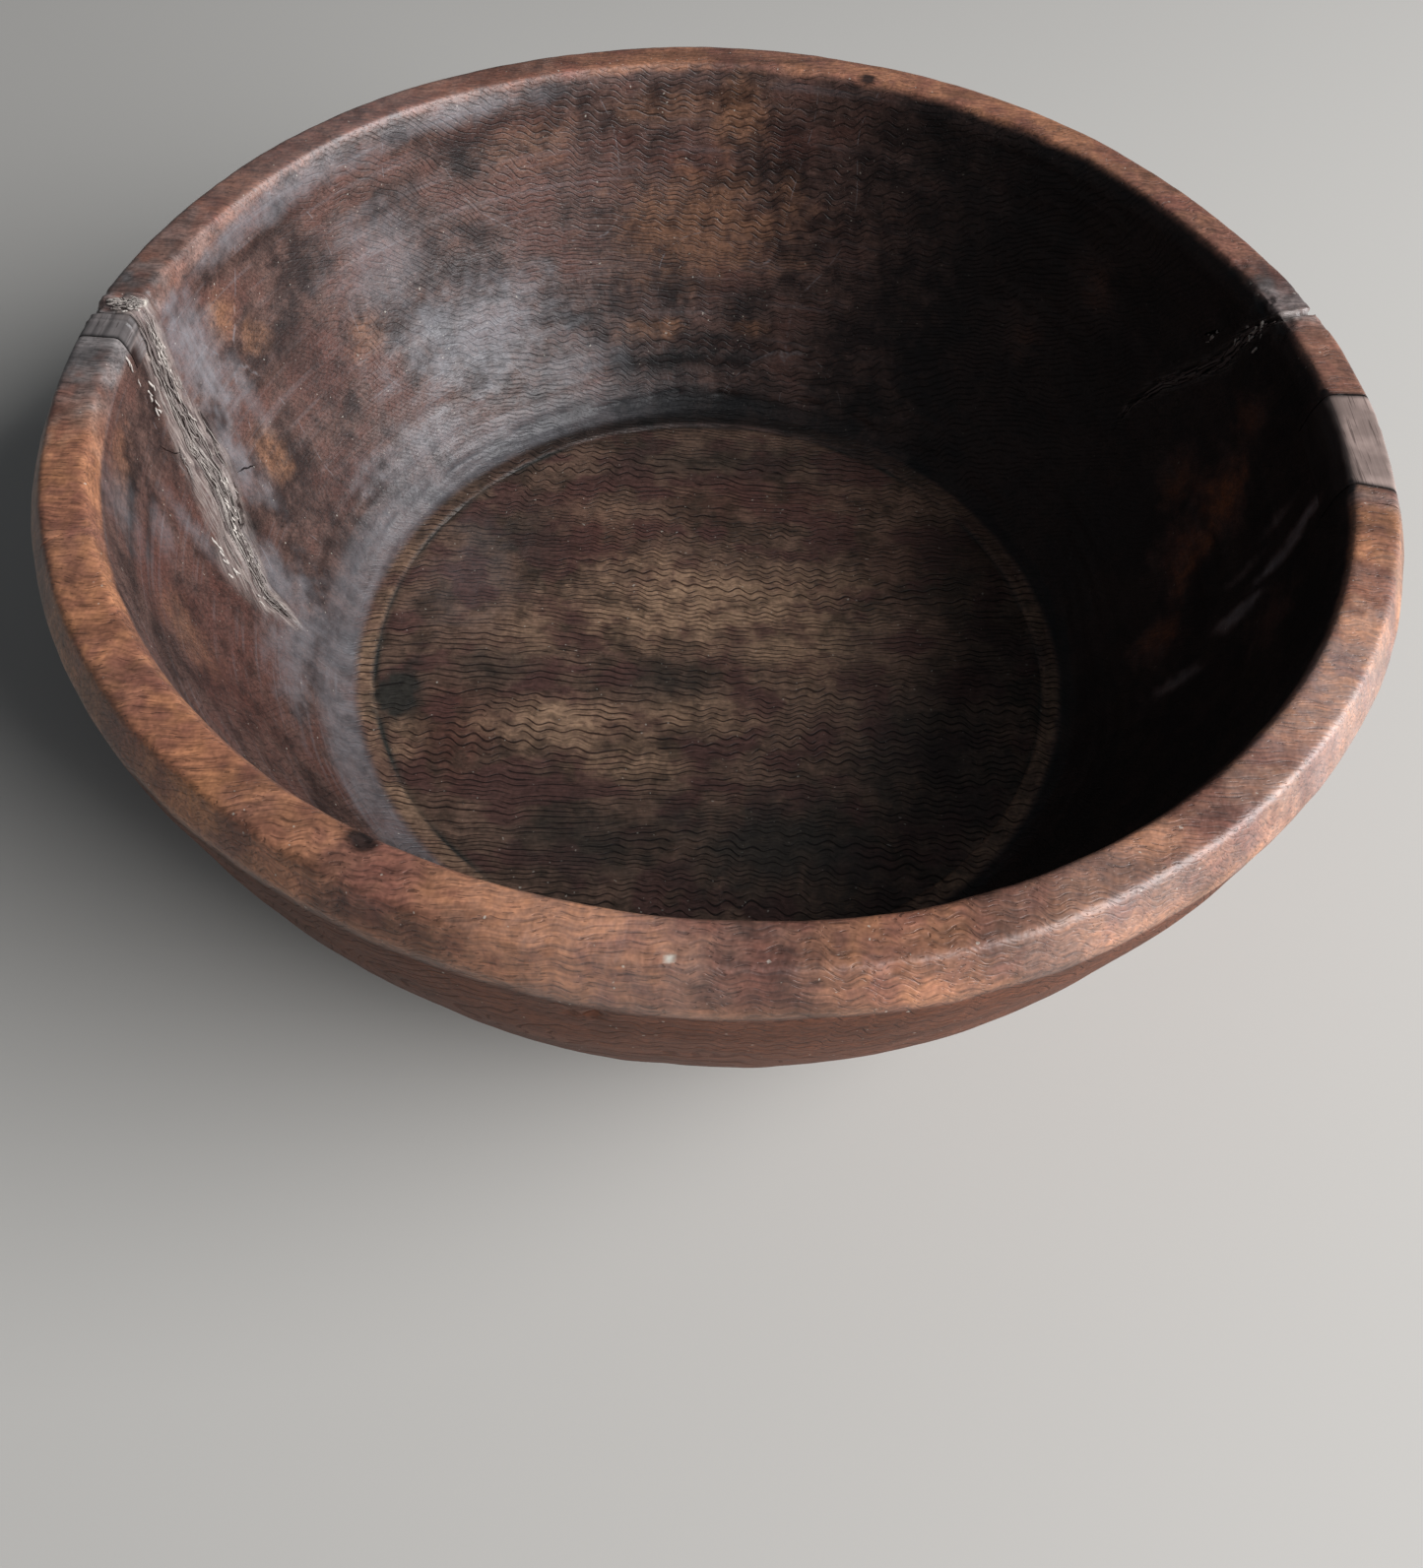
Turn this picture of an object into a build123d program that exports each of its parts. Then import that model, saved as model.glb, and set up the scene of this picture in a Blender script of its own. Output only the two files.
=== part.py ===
from build123d import *
import math
import os

# Deep wooden bowl carved from one block, with two old blocks let into the rim and two filled
# cracks. Millimetres, +Z up, origin at the centre of the flat base. The grain runs along X.
# Azimuths are in degrees from +X, counter-clockwise seen from above.

# Whole bowl
height = 112.0
outer_radius = 150.0  # widest circle, at the foot of the rim's outer bevel
rim_outer_radius = 146.0  # outer edge of the rim's top face
rim_inner_radius = 136.8  # inner edge of the rim's top face
bottom_thickness = 14.0

# Outside: bevel, one arc down the wall, soft corner, flat base
bevel_drop = 7.6
wall_mid_drop = 56.0
wall_mid_radius = 137.8
wall_end_rise = 4.0
wall_end_radius = 105.0
corner_mid_rise = 1.2
corner_mid_radius = 101.8
base_radius = 97.0

# Inside: soft lip, one arc down the wall, cove, narrow ledge, turned groove, flat floor
lip_drop = 5.0
lip_radius = 135.0
inside_mid_drop = 52.0
inside_mid_radius = 124.6
cove_top_rise = 6.0
cove_top_radius = 102.5
cove_mid_rise = 2.5
cove_mid_radius = 99.7
ledge_rise = 0.7
ledge_outer_radius = 95.5
groove_outer_radius = 91.9
groove_radius = 91.2
groove_inner_radius = 90.5
groove_depth = 0.8

# Blocks let into the rim
joint_gap = 0.15
right_patch_start = -9.4
right_patch_end = 2.6
right_patch_depth = 12.0
left_patch_start = 175.8
left_patch_end = 179.6
left_patch_depth = 9.0

# Filled cracks
fill_depth = 4.0  # how far each filling goes into the wall
fill_overreach = 6.0  # how far its rough block passes the wall's face before it is trimmed
left_split_start = 173.3
left_split_end = 175.75
left_split_depth = 3.5
right_crack_azimuth = 20.0
right_split_start = 14.0
right_split_end = 14.7
right_split_depth = 3.5

floor_z = bottom_thickness
lip_z = height - lip_drop
wall_mid_z = height - wall_mid_drop
inside_mid_z = height - inside_mid_drop
above_rim = 5.0


def bowl_outline():
    """Half of the bowl's cross-section, from the centre of the base around to the floor."""
    Line((0, 0), (base_radius, 0))
    ThreePointArc(
        (base_radius, 0),
        (corner_mid_radius, corner_mid_rise),
        (wall_end_radius, wall_end_rise),
    )
    ThreePointArc(
        (wall_end_radius, wall_end_rise),
        (wall_mid_radius, wall_mid_z),
        (outer_radius, height - bevel_drop),
    )
    Polyline(
        (outer_radius, height - bevel_drop),
        (rim_outer_radius, height),
        (rim_inner_radius, height),
        (lip_radius, lip_z),
    )
    ThreePointArc(
        (lip_radius, lip_z),
        (inside_mid_radius, inside_mid_z),
        (cove_top_radius, floor_z + cove_top_rise),
    )
    ThreePointArc(
        (cove_top_radius, floor_z + cove_top_rise),
        (cove_mid_radius, floor_z + cove_mid_rise),
        (ledge_outer_radius, floor_z + ledge_rise),
    )
    Polyline(
        (ledge_outer_radius, floor_z + ledge_rise),
        (groove_outer_radius, floor_z + ledge_rise),
        (groove_radius, floor_z - groove_depth),
        (groove_inner_radius, floor_z),
        (0, floor_z),
        (0, 0),
    )


def skin_outline():
    """A band that follows the inner wall, from inside the hollow to fill_depth into the wood."""
    inward = -fill_overreach
    Line((cove_top_radius + inward, floor_z), (cove_top_radius + fill_depth, floor_z))
    ThreePointArc(
        (cove_top_radius + fill_depth, floor_z),
        (inside_mid_radius + fill_depth, inside_mid_z),
        (rim_inner_radius + fill_depth, height + above_rim),
    )
    Line(
        (rim_inner_radius + fill_depth, height + above_rim),
        (rim_inner_radius + inward, height + above_rim),
    )
    ThreePointArc(
        (rim_inner_radius + inward, height + above_rim),
        (inside_mid_radius + inward, inside_mid_z),
        (cove_top_radius + inward, floor_z),
    )


def rim_sector(start, end):
    """A closed outline across the rim between two azimuths, seen from above."""
    near, far = lip_radius - fill_overreach, outer_radius + above_rim
    corners = []
    for azimuth, radius in ((start, near), (start, far), (end, far), (end, near)):
        angle = math.radians(azimuth)
        corners.append((radius * math.cos(angle), radius * math.sin(angle)))
    Polyline(*corners, close=True)


# The bowl before any block or crack is cut from it
with BuildPart() as blank:
    with BuildSketch(Plane.XZ):
        with BuildLine():
            bowl_outline()
        make_face()
    revolve(axis=Axis.Z)

with BuildPart() as wall_skin:
    with BuildSketch(Plane.XZ):
        with BuildLine():
            skin_outline()
        make_face()
    revolve(axis=Axis.Z)

# Seats cut in the rim, one joint gap longer at each end than the blocks that fill them
gap_angle = math.degrees(joint_gap / rim_outer_radius)

with BuildPart() as right_seat:
    with BuildSketch(Plane.XY.offset(height - right_patch_depth)):
        with BuildLine():
            rim_sector(right_patch_start - gap_angle, right_patch_end + gap_angle)
        make_face()
    extrude(amount=right_patch_depth + above_rim)

with BuildPart() as left_seat:
    with BuildSketch(Plane.XY.offset(height - left_patch_depth)):
        with BuildLine():
            rim_sector(left_patch_start - gap_angle, left_patch_end + gap_angle)
        make_face()
    extrude(amount=left_patch_depth + above_rim)

# Block let into the right of the rim
with BuildPart() as right_rim_patch:
    with BuildSketch(Plane.XY.offset(height - right_patch_depth)):
        with BuildLine():
            rim_sector(right_patch_start, right_patch_end)
        make_face()
    extrude(amount=right_patch_depth + above_rim)
    add(blank.part, mode=Mode.INTERSECT)

# Short block let into the left of the rim, beside the long crack
with BuildPart() as left_rim_patch:
    with BuildSketch(Plane.XY.offset(height - left_patch_depth)):
        with BuildLine():
            rim_sector(left_patch_start, left_patch_end)
        make_face()
    extrude(amount=left_patch_depth + above_rim)
    add(blank.part, mode=Mode.INTERSECT)

# Filling of the long crack: a leaning strip down the left wall, and its splintered end
# across the rim. The strip is drawn looking along X, as (y, z).
with BuildPart() as left_crack_fill:
    with BuildSketch(Plane.YZ):
        with BuildLine():
            tip = (-13.5, height - 84.0)
            top_front = (6.0, height)
            top_back = (15.5, height)
            Spline(top_back, (12.5, height - 30.0), (7.0, height - 54.0), (-8.0, height - 76.0), tip)
            Spline(tip, (-13.0, height - 74.0), (-3.0, height - 52.0), (4.0, height - 30.0), top_front)
            Line(top_front, top_back)
        make_face()
    extrude(amount=-outer_radius)
    add(wall_skin.part, mode=Mode.INTERSECT)
    with BuildSketch(Plane.XY.offset(height - left_split_depth)):
        with BuildLine():
            rim_sector(left_split_start, left_split_end)
        make_face()
    extrude(amount=left_split_depth)
    add(left_seat.part, mode=Mode.SUBTRACT)
    add(blank.part, mode=Mode.INTERSECT)

# Filling of the thinner crack: a narrow strip down the right wall, drawn facing the wall as
# (distance counter-clockwise, z), and a thin line across the rim.
with BuildPart() as right_crack_fill:
    with BuildSketch(Plane.YZ.rotated((0, 0, right_crack_azimuth))):
        with BuildLine():
            foot = (15.5, height - 60.0)
            top_near = (-14.6, height)
            top_far = (-11.6, height)
            Spline(top_far, (0.8, height - 20.0), (10.5, height - 35.0), foot)
            Spline(foot, (6.5, height - 39.0), (-4.2, height - 22.0), top_near)
            Line(top_near, top_far)
        make_face()
    extrude(amount=outer_radius)
    add(wall_skin.part, mode=Mode.INTERSECT)
    with BuildSketch(Plane.XY.offset(height - right_split_depth)):
        with BuildLine():
            rim_sector(right_split_start, right_split_end)
        make_face()
    extrude(amount=right_split_depth)
    add(blank.part, mode=Mode.INTERSECT)

# The bowl itself: the blank less the two seats and the two crack pockets
with BuildPart() as bowl_body:
    add(blank.part)
    add(right_seat.part, mode=Mode.SUBTRACT)
    add(left_seat.part, mode=Mode.SUBTRACT)
    add(left_crack_fill.part, mode=Mode.SUBTRACT)
    add(right_crack_fill.part, mode=Mode.SUBTRACT)

bowl_body.part.label = "bowl_body"
right_rim_patch.part.label = "right_rim_patch"
left_rim_patch.part.label = "left_rim_patch"
left_crack_fill.part.label = "left_crack_fill"
right_crack_fill.part.label = "right_crack_fill"

os.makedirs("parts", exist_ok=True)
export_step(bowl_body.part, "parts/bowl_body.step")
export_step(right_rim_patch.part, "parts/right_rim_patch.step")
export_step(left_rim_patch.part, "parts/left_rim_patch.step")
export_step(left_crack_fill.part, "parts/left_crack_fill.step")
export_step(right_crack_fill.part, "parts/right_crack_fill.step")
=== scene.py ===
import bmesh
import bpy
import math
import numpy as np
from mathutils import Matrix, Vector
from types import SimpleNamespace


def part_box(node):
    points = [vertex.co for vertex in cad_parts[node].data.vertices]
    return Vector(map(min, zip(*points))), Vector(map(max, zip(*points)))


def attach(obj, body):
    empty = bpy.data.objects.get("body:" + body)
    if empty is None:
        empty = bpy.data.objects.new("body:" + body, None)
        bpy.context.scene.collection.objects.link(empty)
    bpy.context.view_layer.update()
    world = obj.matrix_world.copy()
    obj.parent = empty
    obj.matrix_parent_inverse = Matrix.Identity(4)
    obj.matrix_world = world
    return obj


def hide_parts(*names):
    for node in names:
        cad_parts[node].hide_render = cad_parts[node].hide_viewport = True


# A deep bowl carved from one block of curly-grained wood, with two blocks let into its rim and
# two cracks full of torn fibres. Shapes are worked out in millimetres on the bowl's own section
# and turned into metres when a mesh is made. The grain runs along X, and azimuths are in
# degrees from +X, counter-clockwise seen from above.

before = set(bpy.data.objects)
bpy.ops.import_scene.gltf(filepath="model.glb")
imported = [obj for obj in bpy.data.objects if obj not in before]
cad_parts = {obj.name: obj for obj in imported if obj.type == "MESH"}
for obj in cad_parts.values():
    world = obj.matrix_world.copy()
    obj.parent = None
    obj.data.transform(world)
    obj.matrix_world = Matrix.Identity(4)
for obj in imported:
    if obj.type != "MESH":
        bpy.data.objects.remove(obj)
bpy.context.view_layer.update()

MM = 0.001
low_corner, high_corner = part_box("bowl_body")
HEIGHT = high_corner[2] / MM
WIDEST = (high_corner[1] - low_corner[1]) / 2 / MM

# ---------------------------------------------------------------- the bowl's section
BEVEL_DROP = 7.6
RIM_OUTSIDE = WIDEST - 4.0
RIM_INSIDE = WIDEST - 13.2
LIP_DROP = 5.0
LIP = WIDEST - 15.0
FLOOR = 14.0
BASE = WIDEST - 53.0
FOOT_TOP = (WIDEST - 45.0, 4.0)
FOOT_MIDDLE = (WIDEST - 48.2, 1.2)
WALL_MIDDLE = (WIDEST - 12.2, HEIGHT - 56.0)
INSIDE_MIDDLE = (WIDEST - 25.4, HEIGHT - 52.0)
COVE_TOP = (WIDEST - 47.5, FLOOR + 6.0)
COVE_MIDDLE = (WIDEST - 50.3, FLOOR + 2.5)
LEDGE_OUTSIDE = WIDEST - 54.5
LEDGE_RISE = 0.7
GROOVE = WIDEST - 58.8
CENTRE_HOLE = 4.0  # radius of the innermost ring of faces, closed by one fan
SECTION_STEP = 0.25  # distance between the section's points, which count as places along it


def arc(start, middle, end, step):
    """Points about a step apart on the circle through three (radius, height) points."""
    (ax, ay), (bx, by), (cx, cy) = start, middle, end
    d = 2 * (ax * (by - cy) + bx * (cy - ay) + cx * (ay - by))
    a2, b2, c2 = ax * ax + ay * ay, bx * bx + by * by, cx * cx + cy * cy
    ox = (a2 * (by - cy) + b2 * (cy - ay) + c2 * (ay - by)) / d
    oy = (a2 * (cx - bx) + b2 * (ax - cx) + c2 * (bx - ax)) / d
    radius = math.hypot(ax - ox, ay - oy)
    first, last = math.atan2(ay - oy, ax - ox), math.atan2(cy - oy, cx - ox)
    turn = (last - first + math.pi) % (2 * math.pi) - math.pi
    count = max(2, round(abs(turn) * radius / step))
    angles = first + turn * np.arange(count) / count
    return np.stack([ox + radius * np.cos(angles), oy + radius * np.sin(angles)], 1)


def straight(start, end, step):
    """Points about a step apart from start up to, and not with, end."""
    start, end = np.array(start, float), np.array(end, float)
    count = max(1, round(np.linalg.norm(end - start) / step))
    return start + (end - start) * (np.arange(count) / count)[:, None]


def section():
    """The section as fine points with softened corners, from the centre of the base to the
    centre of the floor, and where each of its stretches starts."""
    step = SECTION_STEP
    bevel_foot = (WIDEST, HEIGHT - BEVEL_DROP)
    rim_out, rim_in, lip = (RIM_OUTSIDE, HEIGHT), (RIM_INSIDE, HEIGHT), (LIP, HEIGHT - LIP_DROP)
    ledge_out, ledge_in = (LEDGE_OUTSIDE, FLOOR + LEDGE_RISE), (GROOVE, FLOOR + LEDGE_RISE)
    stretches = {
        "base": straight((CENTRE_HOLE, 0), (BASE, 0), step),
        "foot": arc((BASE, 0), FOOT_MIDDLE, FOOT_TOP, step),
        "wall": arc(FOOT_TOP, WALL_MIDDLE, bevel_foot, step),
        "bevel": straight(bevel_foot, rim_out, step),
        "rim": straight(rim_out, rim_in, step),
        "lip": straight(rim_in, lip, step),
        "inside": arc(lip, INSIDE_MIDDLE, COVE_TOP, step),
        "cove": arc(COVE_TOP, COVE_MIDDLE, ledge_out, step),
        "ledge": straight(ledge_out, ledge_in, step),
        "floor": straight((GROOVE - step, FLOOR), (CENTRE_HOLE, FLOOR), step),
    }
    points = np.concatenate(list(stretches.values()))
    starts, n = {}, 0
    for name, part in stretches.items():
        starts[name] = n
        n += len(part)
    reach, softness = 12, 4.0
    weights = np.exp(-0.5 * (np.arange(-reach, reach + 1) / softness) ** 2)
    weights /= weights.sum()
    padded = np.concatenate([points[:1].repeat(reach, 0), points, points[-1:].repeat(reach, 0)])
    soft = np.stack([np.convolve(padded[:, i], weights, "valid") for i in (0, 1)], 1)
    soft[: starts["foot"] - reach, 1] = 0
    return soft, starts


SECTION, STARTS = section()
_along = np.gradient(SECTION, axis=0)
NORMALS = np.stack([_along[:, 1], -_along[:, 0]], 1)
NORMALS /= np.linalg.norm(NORMALS, axis=1, keepdims=True)


def inside_radius(height):
    """The inner wall's radius at a height."""
    wall = SECTION[STARTS["rim"] + 20 : STARTS["ledge"]]
    return np.interp(height, wall[::-1, 1], wall[::-1, 0])


def outside_radius(height):
    """The outer wall's radius at a height."""
    wall = SECTION[STARTS["foot"] : STARTS["rim"]]
    return np.interp(height, wall[:, 1], wall[:, 0])


# ---------------------------------------------------------------- repeatable roughness
def lattice(ix, iy, iz, seed):
    """A repeatable number from 0 to 1 for each whole-number point."""
    h = (ix * 374761393 + iy * 668265263 + iz * 1440662683 + seed * 1274126177) & 0xFFFFFFFF
    h = ((h ^ (h >> 13)) * 1274126177) & 0xFFFFFFFF
    return ((h ^ (h >> 16)) & 0xFFFF) / 65535.0


def noise(x, y, z, seed=0):
    """Smooth noise from -1 to 1. Another seed gives another pattern."""
    x, y, z = np.broadcast_arrays(x, y, z)
    fx, fy, fz = np.floor(x), np.floor(y), np.floor(z)
    ix, iy, iz = fx.astype(np.int64), fy.astype(np.int64), fz.astype(np.int64)
    tx, ty, tz = x - fx, y - fy, z - fz
    tx, ty, tz = (t * t * t * (t * (6 * t - 15) + 10) for t in (tx, ty, tz))
    total = 0.0
    for dx, wx in ((0, 1 - tx), (1, tx)):
        for dy, wy in ((0, 1 - ty), (1, ty)):
            for dz, wz in ((0, 1 - tz), (1, tz)):
                total = total + wx * wy * wz * lattice(ix + dx, iy + dy, iz + dz, seed)
    return 2 * total - 1


def rough(x, y, z, seed=0, octaves=3):
    """Noise with finer noise added to it."""
    total, size = 0.0, 1.0
    for i in range(octaves):
        total = total + size * noise(x * 2**i, y * 2**i, z * 2**i, seed + i)
        size *= 0.5
    return total / 1.6


def smooth(low, high, value):
    """0 below low, 1 above high, and a soft step between."""
    t = np.clip((value - low) / (high - low), 0, 1)
    return t * t * (3 - 2 * t)


def bell(value, width):
    """1 where the value is 0, falling to nothing on both sides."""
    return np.exp(-((value / width) ** 2))


def turned(azimuth, centre):
    """Degrees from centre to azimuth, from -180 to 180."""
    return (azimuth - centre + 180) % 360 - 180


# ---------------------------------------------------------------- where the cracks run
# The left crack, looking along X: height, the y of its middle and its half width.
LEFT_CRACK = [
    (28.0, -13.2, 0.5), (34.0, -11.8, 1.3), (40.0, -12.0, 1.8), (48.0, -6.5, 3.0), (56.0, -1.5, 4.0),
    (60.0, 2.2, 4.0), (66.0, 4.8, 4.3), (78.0, 6.4, 3.8), (86.0, 7.8, 2.6), (97.0, 9.4, 2.4),
    (112.0, 12.4, 3.2),
]
# The right crack, facing the wall at its own azimuth: height, the distance of its middle
# counter-clockwise from that azimuth, and its half width.
RIGHT_AZIMUTH = 20.0
RIGHT_CRACK = [
    (53.0, 14.9, 0.2), (62.8, 14.6, 0.8), (73.2, 10.1, 1.5), (75.7, 7.7, 1.8), (83.0, 2.3, 2.0),
    (91.0, -3.0, 1.8), (99.0, -5.6, 1.4), (104.4, -8.0, 1.2), (112.0, -13.0, 0.8),
]


def crack_at(crack, height):
    """The middle and the half width of a crack at a height."""
    heights, middles, halves = zip(*crack)
    return np.interp(height, heights, middles), np.interp(height, heights, halves)


def left_crack(y, height):
    """Across the left crack at a point, from -1 at its front edge to 1 at its back edge."""
    middle, half = crack_at(LEFT_CRACK, height)
    return (y - middle) / half


def right_side(x, y):
    """The distance counter-clockwise from the right crack's azimuth, along the wall's face."""
    angle = math.radians(RIGHT_AZIMUTH)
    return y * math.cos(angle) - x * math.sin(angle)


def right_crack(x, y, height):
    """Across the right crack at a point, from -1 at its front edge to 1 at its back edge."""
    middle, half = crack_at(RIGHT_CRACK, height)
    return (right_side(x, y) - middle) / half


# ---------------------------------------------------------------- the bowl's surface
def stretch_weights(place):
    """How much each point of the section belongs to the rim, the inside, the outside and the
    floor, by its place along the section."""
    near = 14  # how many places to each side of a stretch's start the change is spread over

    def past(name):
        return smooth(STARTS[name] - near, STARTS[name] + near, place)

    rim = past("bevel") * (1 - past("inside"))
    inside = past("inside") * (1 - past("ledge"))
    outside = smooth(STARTS["foot"], STARTS["wall"], place) * (1 - past("bevel"))
    return rim, inside, outside, past("ledge")


def out_of_round(azimuth, height):
    """How far the whole wall leans out or in, and up or down, at an azimuth."""
    a = np.radians(azimuth)
    high = smooth(10, HEIGHT, height)
    lean = 0.5 * np.cos(2 * a + 0.6) + 0.35 * np.cos(3 * a + 2.1) + 0.25 * np.cos(5 * a + 0.3)
    lean = lean + 0.30 * rough(3.2 * np.cos(a), 3.2 * np.sin(a), 0.0, 11)
    rise = 0.35 * np.cos(2 * a + 2.4) + 0.30 * rough(2.6 * np.cos(a), 2.6 * np.sin(a), 5.0, 12)
    return lean * high, rise * high * high


def from_groove(radius, x, y):
    """The distance from the middle of the wandering groove around the floor."""
    return radius - GROOVE - 0.6 * noise(x / 20, y / 20, 0, 51)


def cove_cut(x, y, height, azimuth, width):
    """The line where the wall meets the floor's cove, the noise that breaks it up, and how near
    the back a point is, where the line is clearest."""
    from_cove = height - COVE_TOP[1] + 1.5 - 1.6 * noise(x / 14, y / 14, 0, 207)
    broken = noise(x / 9, y / 9, 0, 208)
    return bell(from_cove, width), broken, bell(turned(azimuth, 110), 70)


def tool_marks(azimuth, radius, height, x, y, weights):
    """How far tools and use have pushed the surface out (or in, where negative)."""
    rim, inside, outside, floor = weights
    a = np.radians(azimuth)
    push = np.zeros_like(radius)
    # outside: long shallow facets of a knife or adze
    push += outside * 0.45 * rough(np.cos(a) * 7, np.sin(a) * 7, height / 13, 21)
    push += outside * 0.12 * rough(np.cos(a) * 22, np.sin(a) * 22, height / 3.5, 22)
    # inside: scraped bands that run around the wall
    push += inside * 0.35 * rough(np.cos(a) * 5, np.sin(a) * 5, height / 12, 31)
    bands = noise(np.cos(a) * 3, np.sin(a) * 3, height / 2.6, 32)
    patchy = 0.4 + smooth(-0.4, 0.6, noise(x / 30, y / 30, height / 30, 33))
    push += inside * 0.10 * bands * patchy
    deep = smooth(45, 24, height) * inside
    push += deep * 0.07 * np.sin(2 * np.pi * (radius + 2.6 * noise(x / 30, y / 30, 0, 34)) / 2.9)
    # a broken undercut where the wall meets the floor's cove, deepest at the back
    line, broken, at_back = cove_cut(x, y, height, azimuth, 0.9)
    cut = inside * line * smooth(-0.3, 0.4, broken)
    push -= 0.55 * cut * at_back
    # rim: nearly flat, worn into faint hollows and dents
    push += rim * 0.22 * rough(x / 16, y / 16, height / 16, 41)
    push += rim * 0.07 * rough(x / 3, y / 3, height / 3, 42)
    # floor: turned, a little hollow, with a groove at its edge and low ripples across the grain
    groove_depth = 0.50 + 0.35 * noise(x / 9, y / 9, 3, 52)
    groove = groove_depth * bell(from_groove(radius, x, y), 0.75)
    push -= smooth(0.2, 0.9, floor + 0.4) * groove * (height < 30)
    push += floor * 0.22 * rough(x / 22, y / 22, 0, 53)
    push += floor * 0.07 * noise(x / 5.5, y / 11, 0, 54)
    return push


def torn_edges(azimuth, height, x, y, rim, inside):
    """How far the wood along both cracks is torn out or raised."""
    push = np.zeros_like(height)
    # torn trough of the left crack, and splintered wood to each side of it
    wall_or_rim = inside + rim > 0.3
    across = left_crack(y, height)
    from_middle = y - crack_at(LEFT_CRACK, height)[0]
    here = (x < 0) * wall_or_rim * smooth(27, 33, height)
    splinters = noise(from_middle / 0.55, height / 8, 0, 61)
    splinters = splinters + 0.6 * noise(from_middle / 1.3, height / 3, 0, 64)
    push -= here * (1 - smooth(0.5, 1.3, np.abs(across) + 0.2 * splinters)) * (1.0 + 0.55 * splinters)
    push += here * (1 - smooth(0.9, 3.0, np.abs(across))) * 0.32 * splinters
    # the wall swells a little beside it, around the knot
    push += inside * 0.8 * (x < 0) * bell(from_middle - 9, 7.0)
    # torn edges of the right crack
    across = right_crack(x, y, height)
    side = right_side(x, y)
    here = (x > 0) * (y > 0) * wall_or_rim * smooth(52, 60, height)
    splinters = noise(side / 1.1, height / 1.6, 0, 62) + 0.5 * noise(side / 0.6, height / 0.9, 0, 65)
    push -= here * (1 - smooth(0.6, 1.5, np.abs(across) + 0.3 * splinters)) * (1.3 + 0.6 * splinters)
    push += here * (1 - smooth(1.0, 3.4, np.abs(across))) * 0.3 * splinters
    # worn ends of both cracks across the rim
    for start, end, drop in ((173.0, 175.9, 0.6), (12.4, 18.4, 0.45)):
        strip = smooth(start - 0.6, start + 0.4, azimuth) * smooth(end + 0.4, end - 0.6, azimuth)
        push -= rim * strip * drop * (0.55 + 0.6 * rough(x / 2.2, y / 1.4, height / 2, 66))
    return push


def chipped(azimuth, radius, height, x, y):
    """How deep the dents and chips of the rim and bevel are."""
    total = np.zeros_like(radius)
    ragged = 1 + 0.35 * noise(x / 1.4, y / 1.4, height / 1.4, 63)
    for chip_azimuth, chip_radius, chip_height, size, depth in CHIPS:
        way = np.hypot(np.radians(turned(azimuth, chip_azimuth)) * radius, radius - chip_radius)
        away = np.hypot(way, height - chip_height) * ragged
        total += depth * (1 - smooth(size * 0.4, size, away))
    return total


def carve(azimuth, place):
    """Points of the bowl's surface in millimetres, with the marks of the tools and of use."""
    index = np.clip(np.round(place).astype(int), 0, len(SECTION) - 1)
    radius, height = SECTION[index, 0], SECTION[index, 1]
    out_r, out_z = NORMALS[index, 0], NORMALS[index, 1]
    weights = stretch_weights(place)
    a = np.radians(azimuth)
    x, y = radius * np.cos(a), radius * np.sin(a)
    push = tool_marks(azimuth, radius, height, x, y, weights)
    push += torn_edges(azimuth, height, x, y, weights[0], weights[1])
    push -= chipped(azimuth, radius, height, x, y)
    lean, rise = out_of_round(azimuth, height)
    radius = radius + push * out_r + lean
    height = np.where(height > 0.5, height + push * out_z + rise, height)
    return radius * np.cos(a), radius * np.sin(a), np.maximum(height, 0.0)


# Chips and dents: azimuth, radius, height, size and depth.
CHIPS = [
    (263.8, 149.2, 97.7, 2.2, 0.9),
    (262.4, 149.0, 96.5, 1.6, 0.6),
    (268.6, 143.7, 112.0, 1.3, 0.35),
    (282.8, 146.8, 111.0, 1.8, 0.4),
    (245.6, 137.9, 112.0, 2.2, 0.4),
    (205.0, 149.0, 109.5, 1.6, 0.6),
    (348.5, 149.0, 108.5, 2.4, 0.8),
    (0.5, 150.0, 107.5, 2.6, 1.3),
    (359.3, 147.0, 110.5, 1.8, 0.7),
    (19.5, 149.5, 106.5, 3.5, 0.9),
    (23.2, 137.0, 112.0, 3.0, 0.4),
    (17.9, 136.2, 111.5, 3.4, 0.7),
    (13.7, 136.8, 111.5, 3.0, 0.6),
    (176.0, 149.5, 104.0, 2.6, 1.0),
    (180.5, 149.5, 106.3, 2.0, 0.9),
]


# ---------------------------------------------------------------- meshes
COLUMN_STEP = 0.5
# Where columns stand closer, at the cracks and the right block's ends: start, end and step.
FINE_COLUMNS = ((171.0, 187.5, 0.14), (11.0, 29.0, 0.17), (349.0, 352.0, 0.2), (1.5, 4.0, 0.2))
# Which share of the columns a ring of the base or floor keeps, by the radius it's over.
RING_SHARES = ((2, 70), (4, 40), (8, 18), (16, 8), (32, 0))


def columns():
    """Azimuths of the columns of points."""
    azimuths, here, closest = [], 0.0, 0.2
    while here < 360.0 - closest:
        azimuths.append(here)
        step = COLUMN_STEP
        for start, end, spacing in FINE_COLUMNS:
            if start - 0.4 <= here <= end:
                step = spacing
        here += step
    return np.array(azimuths)


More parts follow.
